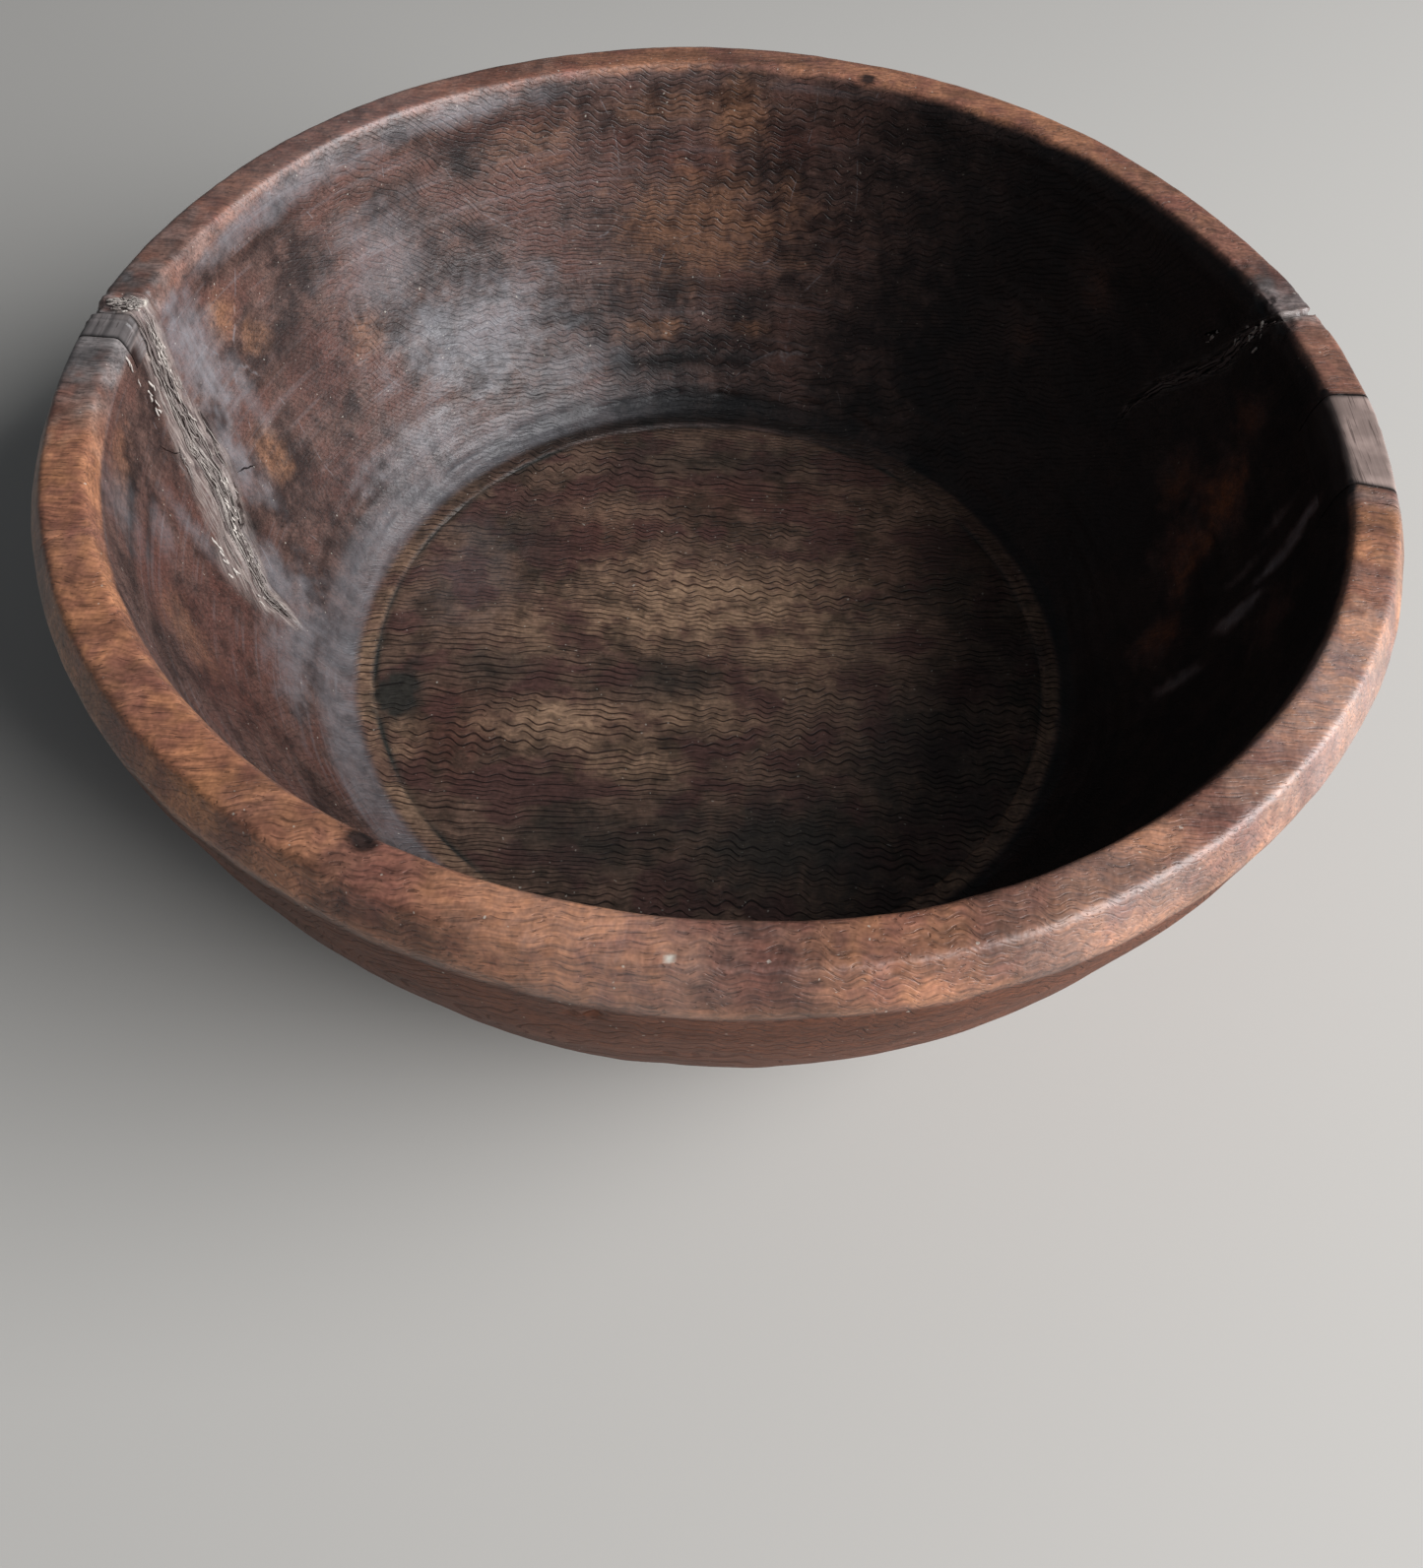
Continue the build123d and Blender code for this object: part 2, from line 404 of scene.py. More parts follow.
def rings():
    """The rings of points from the base's centre to the floor's: place along the section, and
    which share of the columns each keeps."""
    steps = {"base": 16, "foot": 5, "wall": 7, "bevel": 2, "rim": 2, "lip": 2, "inside": 3}
    steps.update({"cove": 2, "ledge": 2, "floor": 5})
    names = list(STARTS)
    places = []
    for name, after in zip(names, names[1:] + [None]):
        end = STARTS[after] if after else len(SECTION)
        places += list(range(STARTS[name], end, steps[name]))
    result = []
    for place in places:
        radius = SECTION[place, 0]
        share = 1
        if place < STARTS["foot"] or place > STARTS["floor"] + 8:
            share = next(kept for kept, over in RING_SHARES if radius > over)
        result.append((place, share))
    return result


def stitch(lower, lower_angles, upper, upper_angles):
    """Triangles between two rings that may hold different numbers of points."""
    faces, i, j = [], 0, 0
    n, m = len(lower), len(upper)
    while i < n or j < m:
        next_low = lower_angles[i + 1] if i + 1 < n else 360.0 + lower_angles[(i + 1) % n]
        next_up = upper_angles[j + 1] if j + 1 < m else 360.0 + upper_angles[(j + 1) % m]
        if j >= m or (i < n and next_low <= next_up):
            faces.append((lower[i % n], lower[(i + 1) % n], upper[j % m]))
            i += 1
        else:
            faces.append((lower[i % n], upper[(j + 1) % m], upper[j % m]))
            j += 1
    return faces


def new_mesh(name, points, faces):
    """A mesh object from points in millimetres."""
    mesh = bpy.data.meshes.new(name)
    mesh.from_pydata((np.asarray(points) * MM).tolist(), [], faces)
    mesh.validate()
    mesh.polygons.foreach_set("use_smooth", np.ones(len(mesh.polygons), bool))
    thing = bpy.data.objects.new(name, mesh)
    bpy.context.collection.objects.link(thing)
    return thing


def bowl_mesh():
    """The carved bowl: rings of points joined by faces, closed by a fan at each end."""
    angles = columns()
    ring_places, ring_ids, ring_angles, total = [], [], [], 0
    for place, share in rings():
        kept = angles[::share]
        ring_places.append(np.full(len(kept), place, float))
        ring_ids.append(np.arange(total, total + len(kept)))
        ring_angles.append(kept)
        total += len(kept)
    points = np.stack(carve(np.concatenate(ring_angles), np.concatenate(ring_places)), 1)
    faces = []
    for k in range(len(ring_ids) - 1):
        low_ids, up_ids = ring_ids[k], ring_ids[k + 1]
        if len(low_ids) == len(up_ids):
            quads = np.stack([low_ids, np.roll(low_ids, -1), np.roll(up_ids, -1), up_ids], 1)
            faces += quads.tolist()
        else:
            faces += stitch(low_ids.tolist(), ring_angles[k], up_ids.tolist(), ring_angles[k + 1])
    first, last = ring_ids[0], ring_ids[-1]
    base_centre, floor_centre = total, total + 1
    points = np.concatenate([points, [[0, 0, 0], [0, 0, points[last, 2].mean()]]])
    faces += [(base_centre, int(b), int(a)) for a, b in zip(first, np.roll(first, -1))]
    faces += [(floor_centre, int(a), int(b)) for a, b in zip(last, np.roll(last, -1))]
    return new_mesh("bowl", points, faces)


# ---------------------------------------------------------------- cutting and filling
def unit(vector):
    """The vector, or each of several vectors, at length 1."""
    vector = np.asarray(vector, float)
    return vector / np.linalg.norm(vector, axis=-1, keepdims=True)


def closed_mesh(name, solids):
    """One mesh object from several closed (points, faces), with its faces turned outwards."""
    points, faces, n = [], [], 0
    for some_points, some_faces in solids:
        points += [tuple(p) for p in some_points]
        faces += [tuple(i + n for i in face) for face in some_faces]
        n += len(some_points)
    thing = new_mesh(name, points, faces)
    shape = bmesh.new()
    shape.from_mesh(thing.data)
    bmesh.ops.recalc_face_normals(shape, faces=shape.faces)
    shape.to_mesh(thing.data)
    shape.free()
    return thing


def combine(target, tool, operation):
    """Cuts the tool's shape from the target, or keeps only what lies in it."""
    step = target.modifiers.new("combine", "BOOLEAN")
    step.operation, step.solver, step.object = operation, "MANIFOLD", tool
    graph = bpy.context.evaluated_depsgraph_get()
    result = bpy.data.meshes.new_from_object(target.evaluated_get(graph))
    target.modifiers.clear()
    old, target.data = target.data, result
    bpy.data.meshes.remove(old)


def discard(thing):
    """Removes a tool's object and its mesh."""
    mesh = thing.data
    bpy.data.objects.remove(thing)
    bpy.data.meshes.remove(mesh)


def sector(start, end, depth, gap):
    """A block across the rim between two azimuths, grown by gap at each of them."""
    near, far, grow = LIP - 8, WIDEST + 8, math.degrees(gap / WIDEST)
    start, end = math.radians(start - grow), math.radians(end + grow)
    corners = ((start, near), (start, far), (end, far), (end, near))
    points = [
        (radius * math.cos(a), radius * math.sin(a), z)
        for z in (HEIGHT - depth, HEIGHT + 6)
        for a, radius in corners
    ]
    faces = [(0, 1, 2, 3), (4, 5, 6, 7), (0, 1, 5, 4), (1, 2, 6, 5), (2, 3, 7, 6), (3, 0, 4, 7)]
    return points, faces


def slit(path, into, width, depth, seed):
    """A ragged closed sliver along a path of points, narrowing from the surface to its depth."""
    path, into = np.array(path, float), unit(into)
    lengths = np.r_[0, np.cumsum(np.linalg.norm(np.diff(path, axis=0), axis=1))]
    count = max(6, round(lengths[-1] / 1.0))
    at = np.linspace(0, lengths[-1], count)
    middle = np.stack([np.interp(at, lengths, path[:, i]) for i in range(3)], 1)
    side = unit(np.cross(np.gradient(middle, axis=0), into))
    t = at / lengths[-1]
    taper = np.clip(np.sin(np.pi * np.clip(t, 0.02, 0.98)) * 1.6, 0, 1)
    middle = middle + side * (0.35 * noise(at / 1.7, 0, 0, seed) * taper)[:, None]
    half = 0.5 * width * taper * (1 + 0.45 * noise(at / 1.3, 5, 0, seed + 1)) + 0.02
    deep = depth * (0.35 + 0.65 * taper)
    out, spread = middle - 2.5 * into, side * half[:, None]
    points = np.concatenate([out - spread, out + spread, middle + deep[:, None] * into])
    a, b, c = 0, count, 2 * count
    faces = [(a, b, c), (a + count - 1, c + count - 1, b + count - 1)]
    for i in range(count - 1):
        for one, two in ((a, b), (b, c), (c, a)):
            faces.append((one + i, one + i + 1, two + i + 1, two + i))
    return points, faces


def left_wall(y, height, lift):
    """A point on the left of the inner wall, lift above its face."""
    radius = inside_radius(height) - lift
    return np.stack(np.broadcast_arrays(-np.sqrt(radius**2 - y**2), y, height + 0.5 * lift), -1)


def right_wall(distance, height, lift):
    """A point on the right of the inner wall, a distance from the right crack's azimuth."""
    radius = inside_radius(height) - lift
    angle = math.radians(RIGHT_AZIMUTH) + np.arcsin(distance / radius)
    return np.stack(
        np.broadcast_arrays(radius * np.cos(angle), radius * np.sin(angle), height + 0.5 * lift), -1
    )


def across_rim(azimuth, start, end, height):
    """A path across the rim's top from one radius to another, at a slight slant."""
    a = math.radians(azimuth)
    slant = math.radians(azimuth + 0.5)
    return [
        (start * math.cos(a), start * math.sin(a), height),
        (end * math.cos(slant), end * math.sin(slant), height),
    ]


RIGHT_PATCH, RIGHT_PATCH_DEPTH = (-9.4, 2.6), 12.0
LEFT_PATCH, LEFT_PATCH_DEPTH = (175.8, 179.6), 9.0
CREASE = 48.0  # edges that turn more than this many degrees stay sharp
JOINT = 0.4  # open joint at each end of a block let into the rim

# Slits of the left crack, each as (y, height) points, its width and its depth.
LEFT_SLITS = [
    ([(13.3, 106.5), (11.6, 101.8)], 0.7, 4.0),
    ([(13.0, 80.0), (11.8, 73.7), (10.0, 68.5), (9.4, 64.5)], 1.5, 4.5),
    ([(8.4, 62.0), (5.5, 58.2), (2.5, 55.5), (-1.5, 52.5), (-5.6, 49.2)], 1.3, 5.0),
    ([(-7.0, 48.5), (-9.6, 45.4), (-12.0, 42.0)], 0.9, 3.5),
    ([(-6.4, 86.6), (-3.2, 81.0), (-0.6, 79.0)], 0.5, 2.0),
    ([(11.0, 61.3), (14.6, 59.6), (18.4, 57.2)], 0.5, 2.0),
    ([(1.2, 96.5), (-1.6, 91.5)], 1.0, 2.0),
]
# Slits of the right crack, each as (distance, height) points, its width and its depth.
RIGHT_SLITS = [
    ([(-12.6, 109.0), (-8.0, 104.0), (-5.6, 99.0), (-3.0, 91.0)], 0.9, 4.5),
    ([(-2.0, 88.5), (2.3, 83.0), (7.7, 75.7), (10.4, 73.0)], 1.1, 4.5),
    ([(11.2, 72.0), (14.2, 64.5), (14.9, 57.0)], 0.6, 3.0),
    ([(2.0, 96.0), (6.5, 92.0)], 1.4, 2.5),
]
# Cracks across the rim: azimuth, inner and outer radius, width and depth.
RIM_CRACKS = [
    (14.1, 134.0, 149.5, 0.45, 3.5),
    (204.6, 141.0, 151.5, 0.8, 4.0),
    (348.2, 140.0, 151.0, 0.5, 3.0),
    (172.9, 133.0, 142.0, 0.5, 2.5),
]


def cut_cracks(target):
    """Cuts every slit and rim crack from the bowl at once."""
    solids = []
    for n, (path, width, depth) in enumerate(LEFT_SLITS):
        places = [left_wall(y, height, -1.0) for y, height in path]
        solids.append(slit(places, (-1, 0, -0.3), width, depth, 70 + n))
    angle = math.radians(RIGHT_AZIMUTH)
    into = (math.cos(angle), math.sin(angle), -0.3)
    for n, (path, width, depth) in enumerate(RIGHT_SLITS):
        places = [right_wall(distance, height, -0.5) for distance, height in path]
        solids.append(slit(places, into, width, depth, 90 + n))
    for n, (azimuth, start, end, width, depth) in enumerate(RIM_CRACKS):
        solids.append(slit(across_rim(azimuth, start, end, HEIGHT), (0, 0, -1), width, depth, 110 + n))
    tool = closed_mesh("slits", solids)
    combine(target, tool, "DIFFERENCE")
    discard(tool)


def rim_block(name, source, span, depth):
    """The piece of the rim between two azimuths, as a block of its own."""
    block = bpy.data.objects.new(name, source.data.copy())
    block.data.name = name
    bpy.context.collection.objects.link(block)
    tool = closed_mesh("tool", [sector(*span, depth, -JOINT / 2)])
    combine(block, tool, "INTERSECT")
    discard(tool)
    return block


bowl = bowl_mesh()
right_patch = rim_block("right_patch", bowl, RIGHT_PATCH, RIGHT_PATCH_DEPTH)
left_patch = rim_block("left_patch", bowl, LEFT_PATCH, LEFT_PATCH_DEPTH)
seats = closed_mesh(
    "seats",
    [
        sector(*RIGHT_PATCH, RIGHT_PATCH_DEPTH, JOINT / 2),
        sector(*LEFT_PATCH, LEFT_PATCH_DEPTH, JOINT / 2),
    ],
)
combine(bowl, seats, "DIFFERENCE")
discard(seats)
cut_cracks(bowl)
for piece in (bowl, right_patch, left_patch):
    piece.data.set_sharp_from_angle(angle=math.radians(CREASE))


# ---------------------------------------------------------------- torn fibres in the cracks
def fibre(path, width, thickness, away, seed):
    """A flat tapering splinter along a path, its broad side facing away."""
    count = len(path)
    t = np.linspace(0, 1, count)
    taper = np.clip(1.25 * np.sin(np.pi * (0.06 + 0.88 * t)) ** 0.6, 0.05, 1)
    ahead = unit(np.gradient(path, axis=0))
    side = unit(np.cross(ahead, away))
    over = unit(np.cross(side, ahead))
    half = (0.5 * width * taper * (1 + 0.3 * noise(t * 6, seed, 0, 7)))[:, None]
    thick = (0.5 * thickness * taper)[:, None]
    lean = 0.35 * noise(t * 3, seed, 9, 8)[:, None]
    corners = [
        path - side * half - over * thick,
        path + side * half - over * thick,
        path + side * half * 0.7 + over * thick * (1 + lean),
        path - side * half * 0.7 + over * thick * (1 - lean),
    ]
    points = np.concatenate(corners)
    faces = [(0, count, 2 * count, 3 * count)]
    faces.append(tuple(k * count + count - 1 for k in (3, 2, 1, 0)))
    for k in range(4):
        one, two = k * count, (k + 1) % 4 * count
        for i in range(count - 1):
            faces.append((one + i, one + i + 1, two + i + 1, two + i))
    return points, faces


def tinted(name, fibres):
    """One object from many pairs of a fibre and its paleness."""
    thing = closed_mesh(name, [solid for solid, _ in fibres])
    tints = [np.full(len(points), np.clip(tint, 0, 1)) for (points, _), tint in fibres]
    paint(thing, "pale", np.concatenate(tints))
    return thing


def paint(thing, name, values):
    """Stores a number for each point of a mesh, for its material to read by name."""
    layer = thing.data.attributes.new(name, "FLOAT", "POINT")
    layer.data.foreach_set("value", np.asarray(values, np.float32))


def wall_splinters(draw, count, heights, lengths, spread, sink):
    """Fibres of the left crack: each one's number and its path over the wall."""
    for n in range(count):
        top = draw.uniform(*heights)
        bottom = max(29.5, top - draw.uniform(*lengths) * (0.5 if top < 50 else 1))
        place = draw.uniform(-spread, spread)
        t = np.linspace(0, 1, 10)
        height = top + (bottom - top) * t
        middle, half = crack_at(LEFT_CRACK, height)
        y = middle + half * (place + draw.uniform(-0.3, 0.3) * t) + 0.3 * noise(t * 4, n, 0, 120)
        lift = draw.uniform(*sink) + draw.uniform(-0.2, 0.5) * t**2 + 0.25 * noise(t * 3, n, 5, 121)
        yield n, left_wall(y, height, np.minimum(lift, 0.3))


FIBRE_THICKNESS = (0.12, 0.3)
RIM_FIBRES, RIGHT_FIBRES = 70, 150  # how many cross the rim at the left, and are in the right crack
# Where each crack's palest splinters are: y or distance, height and how many.
LEFT_PALE_SPOTS = [
    (12.2, 104.0, 9), (10.4, 98.0, 7), (6.9, 60.8, 7), (0.4, 59.6, 10), (-2.3, 54.0, 10),
    (-5.4, 49.0, 7), (-12.4, 57.4, 4), (-14.4, 53.6, 5), (-15.0, 42.5, 5), (1.5, 97.0, 4),
    (0.0, 93.5, 5), (-1.2, 106.5, 5),
]
RIGHT_PALE_SPOTS = [(3.0, 93.5, 12), (-7.5, 104.5, 12), (-3.5, 99.0, 6)]


def left_fibres():
    """The torn, splintery wood that fills the left crack, and its ends across the rim."""
    draw = np.random.default_rng(5)
    fibres = []
    away = (0.85, 0.0, 0.5)
    # how many, heights, lengths, spread across the crack, depth below the wall, widths, paleness
    layers = (
        (70, (36, 111), (6, 20), 0.9, (-1.0, -0.4), (0.3, 0.8), 0.26),
        (120, (36, 110), (3, 10), 1.0, (-0.6, 0.0), (0.15, 0.45), 0.38),
        (60, (44, 106), (3, 9), 2.4, (-0.2, 0.05), (0.12, 0.3), 0.36),
    )
    for count, heights, lengths, spread, sink, widths, tint in layers:
        for n, path in wall_splinters(draw, count, heights, lengths, spread, sink):
            solid = fibre(path, draw.uniform(*widths), draw.uniform(*FIBRE_THICKNESS), away, n)
            fibres.append((solid, draw.normal(tint, 0.10)))
    for spot_y, spot_height, count in LEFT_PALE_SPOTS:
        for n in range(count):
            t = np.linspace(0, 1, 6)
            height = spot_height + draw.normal(0, 1.8) - draw.uniform(0.8, 2.6) * t
            y = spot_y + draw.normal(0, 0.9) + draw.uniform(-0.6, 0.4) * t
            path = left_wall(y, height, draw.uniform(-0.3, 0.1) + 0.15 * noise(t * 3, n, 2, 123))
            solid = fibre(path, draw.uniform(0.2, 0.6), draw.uniform(*FIBRE_THICKNESS), away, n)
            fibres.append((solid, draw.uniform(0.7, 1.0)))
    # the crack's end across the rim
    for n in range(RIM_FIBRES):
        t = np.linspace(0, 1, 7)
        x = -(draw.uniform(135.2, 142.0) + draw.uniform(0.8, 3.2) * t)
        y = draw.normal(13.6, 1.1) + draw.normal(0, 0.4) * t + 0.3 * noise(t * 3, n, 0, 122)
        rise = draw.uniform(-0.75, -0.15) + draw.uniform(-0.1, 0.15) * t
        path = np.stack([x, y, HEIGHT + rise], 1)
        solid = fibre(path, draw.uniform(0.2, 0.6), draw.uniform(*FIBRE_THICKNESS), (0.2, 0, 1), n)
        fibres.append((solid, draw.normal(0.5, 0.15)))
    return tinted("left_fibres", fibres)


def right_fibres():
    """The thinner torn edges of the right crack."""
    draw = np.random.default_rng(9)
    fibres = []
    away = (-0.8, -0.3, 0.5)
    for n in range(RIGHT_FIBRES):
        top = draw.uniform(60, 110)
        bottom = max(54.5, top - draw.uniform(1.5, 8))
        t = np.linspace(0, 1, 8)
        height = top + (bottom - top) * t
        middle, half = crack_at(RIGHT_CRACK, height)
        distance = middle + half * (draw.uniform(-1.8, 1.8) + draw.uniform(-0.3, 0.3) * t)
        lift = draw.uniform(-1.2, 0.0) + draw.uniform(-0.2, 0.3) * t**2
        lift = lift + 0.2 * noise(t * 3, n, 4, 124)
        path = right_wall(distance, height, np.minimum(lift, 0.3))
        solid = fibre(path, draw.uniform(0.25, 0.8), draw.uniform(0.2, 0.45), away, n)
        fibres.append((solid, draw.normal(0.05, 0.09)))
    for middle, high, count in RIGHT_PALE_SPOTS:
        for n in range(count):
            t = np.linspace(0, 1, 6)
            height = high + draw.normal(0, 1.8) - draw.uniform(0.6, 2.6) * t
            distance = middle + draw.normal(0, 1.7) + draw.uniform(-1.5, 1.5) * t
            path = right_wall(distance, height, draw.uniform(-0.3, 0.2))
            solid = fibre(path, draw.uniform(0.25, 0.8), 0.3, away, n)
            fibres.append((solid, draw.uniform(0.5, 0.9)))
    return tinted("right_fibres", fibres)


left_torn = left_fibres()
right_torn = right_fibres()
for piece, node, slot in (
    (bowl, "bowl_body", "bowl_wood"),
    (right_patch, "right_rim_patch", "patch_wood"),
    (left_patch, "left_rim_patch", "patch_wood"),
    (left_torn, "left_crack_fill", "crack_fill"),
    (right_torn, "right_crack_fill", "crack_fill"),
):
    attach(piece, "root")
    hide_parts(node)


# ---------------------------------------------------------------- where the wood is marked
# Marks on the inner wall: azimuth, height, half width around the wall, half height, strength.
WALL_MARKS = {
    # tan blotches, and painted light where the left wall is lit
    "glow": [
        (164.3, 91, 4, 7, 0.8), (161, 80, 4, 6, 0.7), (146, 60, 6, 7, 0.6), (168, 55, 5, 9, 0.7),
        (118, 92, 14, 10, 0.35), (94, 66, 26, 20, 0.7), (90, 98, 7, 16, 0.7),
        (102.8, 36.4, 10, 4, 1.0), (87, 36.5, 8, 3, 0.6), (96, 100, 22, 6, 0.35),
        (191, 100, 9, 8, 0.4), (202, 70, 7, 14, 0.4),
    ],
    "red": [
        (96.5, 84, 15, 8, 0.7), (107, 90, 12, 5, 0.5), (82, 92, 12, 8, 0.5), (120, 100, 16, 6, 0.4),
        (191.8, 104, 12, 8, 0.8), (197.5, 82, 16, 12, 0.9), (186, 72, 9, 12, 0.8), (200, 55, 30, 24, 0.7),
        (152, 62, 14, 16, 0.7), (160, 36, 14, 10, 0.5), (170, 104, 9, 8, 0.6), (6.7, 71, 10, 14, 1.0),
        (4.8, 53.7, 9, 14, 1.0), (14, 62, 8, 12, 0.6), (38, 84, 9, 12, 0.3), (46, 60, 8, 12, 0.3),
        (10.5, 89, 6, 8, 0.7), (354.5, 42, 9, 12, 0.7), (345, 80, 7, 12, 0.6),
    ],
    # stains, and painted shade on the right and back right of the wall
    "stain": [
        (126, 93, 6, 9, 0.55), (150.8, 100, 10, 6, 0.5), (137, 91, 9, 9, 0.45), (148, 85, 9, 8, 0.5),
        (156, 70, 7, 15, 0.5), (113, 42, 8, 4, 0.6), (98, 28, 36, 4, 0.85), (86, 47, 8, 4, 0.7),
        (91, 34, 14, 2.5, 0.8), (72, 99, 16, 12, 0.5), (58.9, 100, 18, 16, 0.8),
        (55.7, 76, 18, 25, 0.9), (62, 42, 18, 16, 0.8), (36, 50, 32, 36, 1.0), (34, 92, 20, 20, 0.95),
        (195.5, 92, 17, 3.5, 0.9), (194, 84, 9, 3, 0.8), (178, 50, 5, 8, 0.6), (208, 84, 20, 5, 0.5),
    ],
    "ember": [
        (6.7, 70, 5, 11, 0.9), (3, 55, 6, 11, 0.8), (11, 88, 4, 7, 0.6), (13, 60, 5, 10, 0.6),
        (39, 82, 5, 9, 0.45), (45, 58, 5, 9, 0.4), (356, 44, 6, 9, 0.6),
    ],
    # pale dusty coating, and painted sheen on the back left and left of the wall
    "film": [
        (170.5, 92, 8, 26, 0.95), (173.5, 62, 5, 18, 0.8), (130, 46, 26, 20, 1.0), (145, 28, 24, 9, 0.8),
        (118, 30, 18, 9, 0.6), (150, 106, 30, 5, 0.7), (125, 107, 24, 4, 0.6), (183, 40, 8, 12, 0.7),
        (187, 66, 3, 16, 0.5), (192, 78, 5, 8, 0.4), (166, 72, 3, 16, 0.45), (190, 30, 24, 12, 0.7),
        (140, 76, 16, 18, 0.5), (196, 96, 8, 14, 0.4), (353.0, 96, 1.8, 12, 1.1),
        (352.0, 82, 1.9, 12, 1.1), (350.0, 66, 2.2, 12, 1.0), (346.5, 48, 2.6, 12, 0.8),
        (357, 84, 1.6, 10, 0.5), (355, 70, 1.6, 10, 0.5),
    ],
}
# Marks on the floor: x, y, half length along x, half width along y, strength.
FLOOR_MARKS = {
    # tan blotches, and a painted pool of light over the floor's middle
    "glow": [
        (-2, 17, 36, 17, 1.0), (26, 4, 22, 18, 0.7), (-38, -28, 20, 9, 0.9), (-20, -40, 16, 6, 0.7),
        (-52, 2, 12, 12, 0.4), (-2, -22, 18, 7, 0.6), (36, 26, 10, 9, 0.4), (-80, -36, 8, 10, 0.6),
        (-30, 52, 16, 5, 0.3),
    ],
    "red": [
        (-66, -34, 16, 18, 0.6), (-40, 44, 24, 16, 0.4), (10, 60, 34, 12, 0.4), (60, 40, 20, 18, 0.3),
    ],
    # stains, and painted shade on the floor's right
    "stain": [
        (22, -62, 34, 18, 0.8), (62, -34, 26, 28, 0.6), (-28, -64, 26, 12, 0.5), (70, 40, 18, 26, 0.4),
        (82, 6, 16, 26, 0.5), (0, 76, 44, 12, 0.5), (-58, 40, 16, 16, 0.5), (-12, -12, 14, 8, 0.5),
        (-58, -10, 12, 8, 0.5), (-83.2, -21.5, 7.0, 9.5, 1.4), (40, 2, 10, 20, 0.3),
    ],
    "film": [(-70, 24, 14, 22, 0.2)],
}
# Marks on the rim: azimuth, half width around it in degrees, strength.
RIM_MARKS = {
    # the first list is painted sheen on the rim
    "film": [(264, 9, 0.28), (299, 7, 0.25), (326, 12, 0.6), (140, 22, 0.3)],
    "grey": [(179.5, 12.0, 1.0), (17.2, 4.4, 0.8), (349, 1.2, 0.5), (164, 6, 0.35)],
    "stain": [(20.0, 1.6, 0.4), (120, 5, 0.3), (277, 8, 0.25), (292, 5, 0.25), (345.5, 2.5, 0.3)],
    # tan wood, and painted light towards the front right
    "glow": [
        (197, 9, 0.7), (213, 9, 0.7), (228, 9, 0.9), (241, 4, 0.4), (260, 10, 0.6), (338, 12, 0.9),
        (322, 9, 0.7), (300, 8, 0.5), (285, 6, 0.6), (60, 24, 0.4), (100, 10, 0.3),
    ],
}
# Knots and bruises on the rim, and chips down to pale wood: azimuth, radius, height and size.
DARK_SPOTS = [
    (75.2, 137.6, 112.0, 2.0), (245.6, 137.2, 112.0, 2.6), (2.9, 136.8, 111.0, 1.6),
    (350.4, 136.8, 111.0, 1.8),
]
PALE_CHIPS = [
    (263.8, 149.0, 97.7, 1.5), (262.3, 149.0, 97.0, 0.9), (268.6, 143.7, 112.0, 0.75),
    (359.3, 147.5, 109.5, 1.6), (0.8, 149.0, 107.5, 1.4), (21.5, 149.0, 108.0, 1.0),
    (180.4, 149.5, 106.5, 1.1), (173.6, 136.0, 111.0, 1.3),
]


MARK_NAMES = ("glow", "red", "stain", "film", "grey", "ember")
RIM_REACH_OUTSIDE = 9.0  # how far down from the top the rim's colour reaches
RIM_REACH_INSIDE = 4.5
RIM_REACH_LESS = 2.9  # how much less far inside it reaches at the back and the right
BOUNCE_LIT_EDGE = 102.5  # height of the bevel's lower edge, where warm bounce light is painted
DARKEST = 8  # azimuth towards which painted shade on the inner wall grows darkest
BACK, BACK_WIDTH = 92, 52  # azimuth and half width of the dark foot of the back wall
ARCH, ARCH_WIDTH, ARCH_FOOT, ARCH_RISE = 94, 21, 28, 19  # azimuth, half width, height, rise


def strongest(shares, ragged):
    """How strong the strongest of several ragged-edged marks is at each point."""
    total = 0.0
    for share, strength in shares:
        total = np.maximum(total, strength * (1 - smooth(0.1, 1.4, share + ragged)))
    return total


def beside_cracks(x, y, height, inner):
    """The signed distance from the nearer crack's middle, and how torn the wood is there."""
    left, right = left_crack(y, height), right_crack(x, y, height)
    on_left = x < 0
    half = crack_at(LEFT_CRACK, height)[1]
    distance = np.where(on_left, left * half, right_side(x, y) + height * 0.8)
    ragged = 0.35 * rough(x / 3, y / 3, height / 5, 205)
    reach = np.where(left < 0, 2.3 + 1.2 * bell(height - 52, 12), 1.5)
    torn_left = 1 - smooth(0.7 * reach, 1.4 * reach, np.abs(left) + ragged)
    torn_right = (1 - smooth(1.0, 3.0, np.abs(right) + 2 * ragged)) * (y > 0)
    torn_left = torn_left * smooth(27, 33, height)
    torn_right = torn_right * smooth(52, 60, height)
    return distance, inner * np.where(on_left, torn_left, torn_right)


